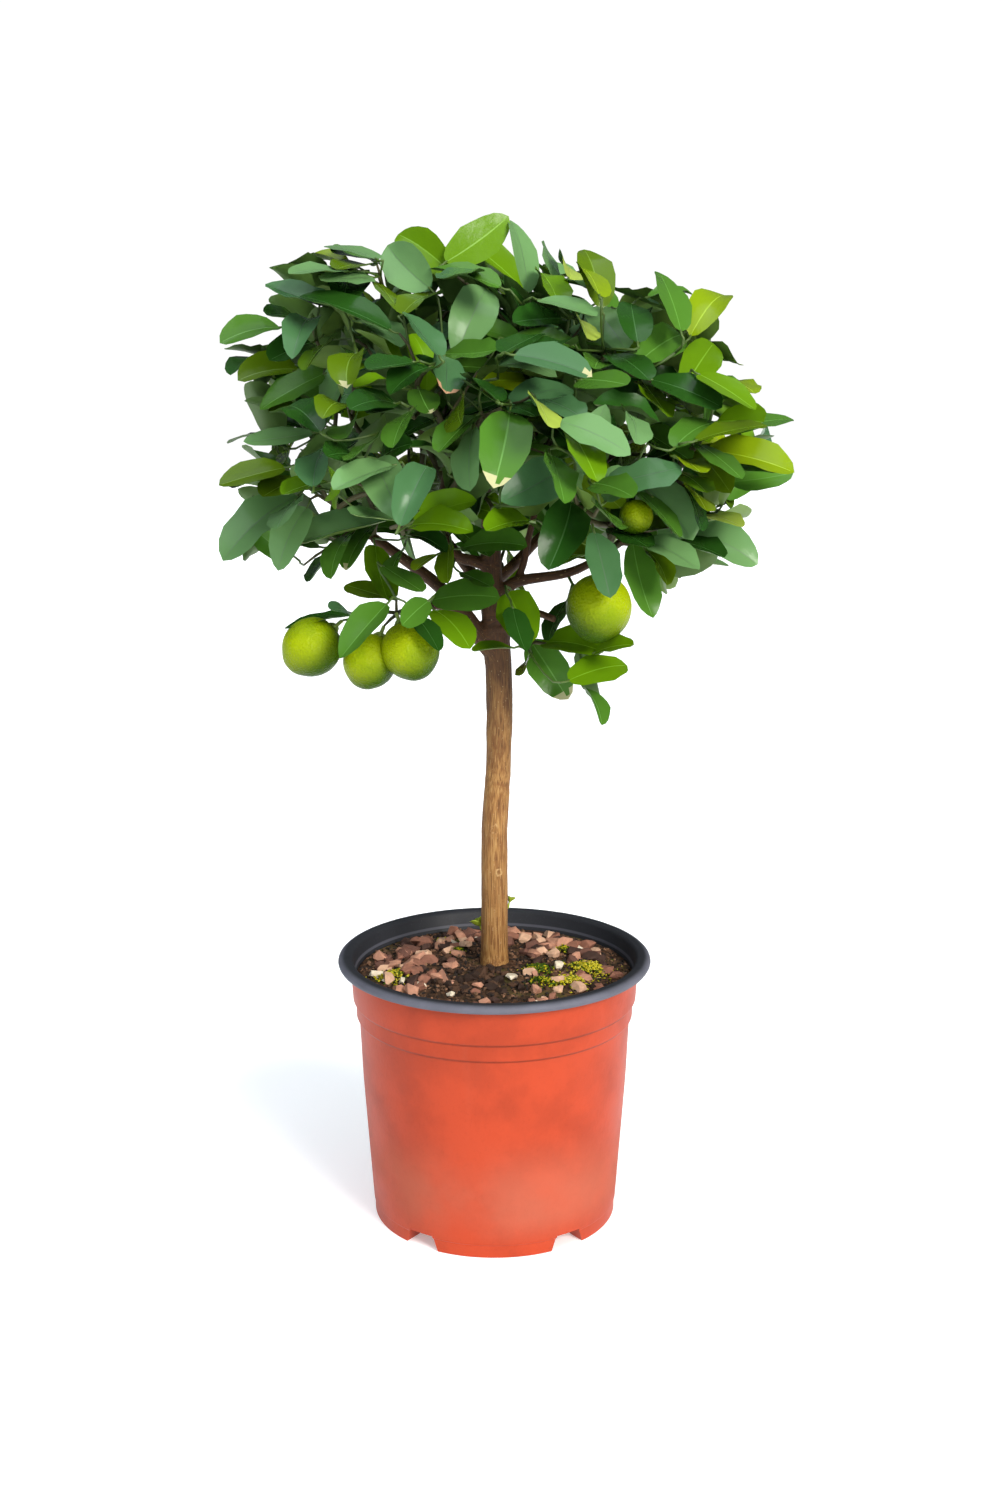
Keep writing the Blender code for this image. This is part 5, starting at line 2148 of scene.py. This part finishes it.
def make_light(kind, name, place, power, colour, **settings):
    """A light at a place, turned towards the middle of the crown."""
    data = bpy.data.lights.new(name, kind)
    data.energy = power
    data.color = colour
    for setting, value in settings.items():
        setattr(data, setting, value)
    light = linked(name, data)
    light.location = place
    light.rotation_euler = (LIT_PLACE - Vector(place)).to_track_quat("-Z", "Y").to_euler()


def make_camera():
    data = bpy.data.cameras.new("camera")
    data.sensor_width = 36.0
    data.lens = data.sensor_width * FOCAL_PIXELS / PICTURE_HEIGHT
    data.clip_start = 0.05
    camera = linked("camera", data)
    camera.location = CAMERA_PLACE
    camera.rotation_euler = (math.radians(90 - CAMERA_PITCH), 0, -math.radians(CAMERA_PAN))
    bpy.context.scene.camera = camera


def make_world(strength):
    world = bpy.data.worlds.new("studio")
    world.use_nodes = True
    background = world.node_tree.nodes["Background"]
    background.inputs["Color"].default_value = (0.80, 0.90, 1.0, 1.0)
    background.inputs["Strength"].default_value = strength
    bpy.context.scene.world = world


def brightness(name, description, default):
    return bpy.props.FloatProperty(name=name, description=description, default=default, min=0.0)


def colour(name, description, default):
    return bpy.props.FloatVectorProperty(
        name=name, description=description, default=default, size=3, min=0.0, max=1.0, subtype="COLOR"
    )


class LimeTreeStage(bpy.types.PropertyGroup):
    """Lights of the studio."""

    key: brightness("Key light", "Strength of the light from the upper right", 3.7)
    top: brightness("Top light", "Strength of the wide light overhead", 2.4)
    fill: brightness("Fill light", "Strength of the weak light from the front", 0.9)
    sky: brightness("Sky", "Brightness of the even light from all sides", 0.13)


class LimeTreePot(bpy.types.PropertyGroup):
    """Colours of the pot, and looks of the compost and its topping."""

    wall: colour("Wall", "Colour of the pot's wall", TERRACOTTA)
    # The rim's grey outer roll is painted sheen broken up by dust, which this colour leaves out
    rim: colour("Rim", "Colour of the rolled rim where it isn't worn", RIM_BLACK)
    earth: colour("Earth", "Colour of the darkest compost", EARTH)
    chipping_size: bpy.props.FloatProperty(
        name="Chipping size",
        description="Size of the chippings, 1 as in the picture",
        default=1.0,
        min=0.3,
        max=1.5,
    )


class LimeTreePlant(bpy.types.PropertyGroup):
    """Colours of the stem and the fruit, and how the crown grows."""

    tan: colour("Bark", "Colour of the bark low on the stem", BARK_TAN)
    rind: colour("Rind", "Colour of the rind that faces the light", LIME_LIT)
    seed: bpy.props.IntProperty(
        name="Seed", description="Number that the branching starts from", default=2718
    )
    leaf_length: bpy.props.FloatProperty(
        name="Leaf length",
        description="Usual length of a leaf that the picture doesn't show",
        default=0.054,
        min=0.02,
        max=0.08,
        unit="LENGTH",
    )


def grown_plant(context):
    sizes = context.scene.lime_tree_plant
    return plant(sizes.seed, round(sizes.leaf_length / MM, 3))


class LIMETREE_OT_stage(bpy.types.Operator):
    """Set up the camera, the lights and the floor"""

    bl_idname = "limetree.stage"
    bl_label = "Stage"

    def execute(self, context):
        lights = context.scene.lime_tree_stage
        make_camera()
        make_floor()
        make_backdrop()
        warm, cool = (1.0, 0.96, 0.90), (0.86, 0.93, 1.0)
        make_light("SUN", "key", KEY_PLACE, lights.key, warm, angle=math.radians(26))
        make_light("SUN", "top", TOP_PLACE, lights.top, cool, angle=math.radians(70))
        make_light("SUN", "fill", FILL_PLACE, lights.fill, cool, angle=math.radians(60))
        make_world(lights.sky)
        context.scene.view_settings.view_transform = "Standard"
        return {"FINISHED"}


class LIMETREE_OT_pot(bpy.types.Operator):
    """Make the pot's shell and its rolled rim"""

    bl_idname = "limetree.pot"
    bl_label = "Pot"

    def execute(self, context):
        colours = context.scene.lime_tree_pot
        make_pot(tuple(colours.wall))
        make_rim(tuple(colours.rim))
        return {"FINISHED"}


class LIMETREE_OT_compost(bpy.types.Operator):
    """Make the compost with its chippings, crumbs and moss"""

    bl_idname = "limetree.compost"
    bl_label = "Compost"

    def execute(self, context):
        looks = context.scene.lime_tree_pot
        make_compost(tuple(looks.earth))
        make_chippings(looks.chipping_size)
        make_crumbs()
        make_moss()
        return {"FINISHED"}


class LIMETREE_OT_bark(bpy.types.Operator):
    """Make the trunk and boughs with the relief of their bark"""

    bl_idname = "limetree.bark"
    bl_label = "Bark"

    def execute(self, context):
        make_bark(tuple(context.scene.lime_tree_plant.tan))
        return {"FINISHED"}


class LIMETREE_OT_twigs(bpy.types.Operator):
    """Grow the twigs and the leaf stalks"""

    bl_idname = "limetree.twigs"
    bl_label = "Twigs"

    def execute(self, context):
        grown = grown_plant(context)
        make_twigs(grown)
        make_petioles(grown)
        make_shoots()
        return {"FINISHED"}


class LIMETREE_OT_leaves(bpy.types.Operator):
    """Set the leaves of every mass of foliage"""

    bl_idname = "limetree.leaves"
    bl_label = "Leaves"

    def execute(self, context):
        make_leaves(grown_plant(context))
        return {"FINISHED"}


class LIMETREE_OT_limes(bpy.types.Operator):
    """Hang the limes on their stalks"""

    bl_idname = "limetree.limes"
    bl_label = "Limes"

    def execute(self, context):
        make_limes(tuple(context.scene.lime_tree_plant.rind))
        return {"FINISHED"}


OPERATORS = (
    LIMETREE_OT_stage,
    LIMETREE_OT_pot,
    LIMETREE_OT_compost,
    LIMETREE_OT_bark,
    LIMETREE_OT_leaves,
    LIMETREE_OT_twigs,
    LIMETREE_OT_limes,
)


# Name on the scene of each group of properties
GROUPS = {
    "lime_tree_stage": LimeTreeStage,
    "lime_tree_pot": LimeTreePot,
    "lime_tree_plant": LimeTreePlant,
}


class LIMETREE_PT_panel(bpy.types.Panel):
    """Lists the steps of the tree, below the sizes and colours that they use"""

    bl_idname = "LIMETREE_PT_panel"
    bl_label = "Lime Tree"
    bl_space_type = "VIEW_3D"
    bl_region_type = "UI"
    bl_category = "Lime Tree"

    def draw(self, context):
        for name, group in GROUPS.items():
            for prop in group.__annotations__:
                self.layout.prop(getattr(context.scene, name), prop)
        for operator in OPERATORS:
            self.layout.operator(operator.bl_idname)


CLASSES = (*GROUPS.values(), *OPERATORS, LIMETREE_PT_panel)


def register():
    for made in CLASSES:
        bpy.utils.register_class(made)
    for name, group in GROUPS.items():
        setattr(bpy.types.Scene, name, bpy.props.PointerProperty(type=group))


def unregister():
    for name in GROUPS:
        delattr(bpy.types.Scene, name)
    for made in reversed(CLASSES):
        bpy.utils.unregister_class(made)


def main():
    register()
    bpy.ops.limetree.stage()
    bpy.ops.limetree.pot()
    bpy.ops.limetree.compost()
    bpy.ops.limetree.bark()
    bpy.ops.limetree.leaves()
    bpy.ops.limetree.twigs()
    bpy.ops.limetree.limes()


if __name__ == "__main__":
    main()
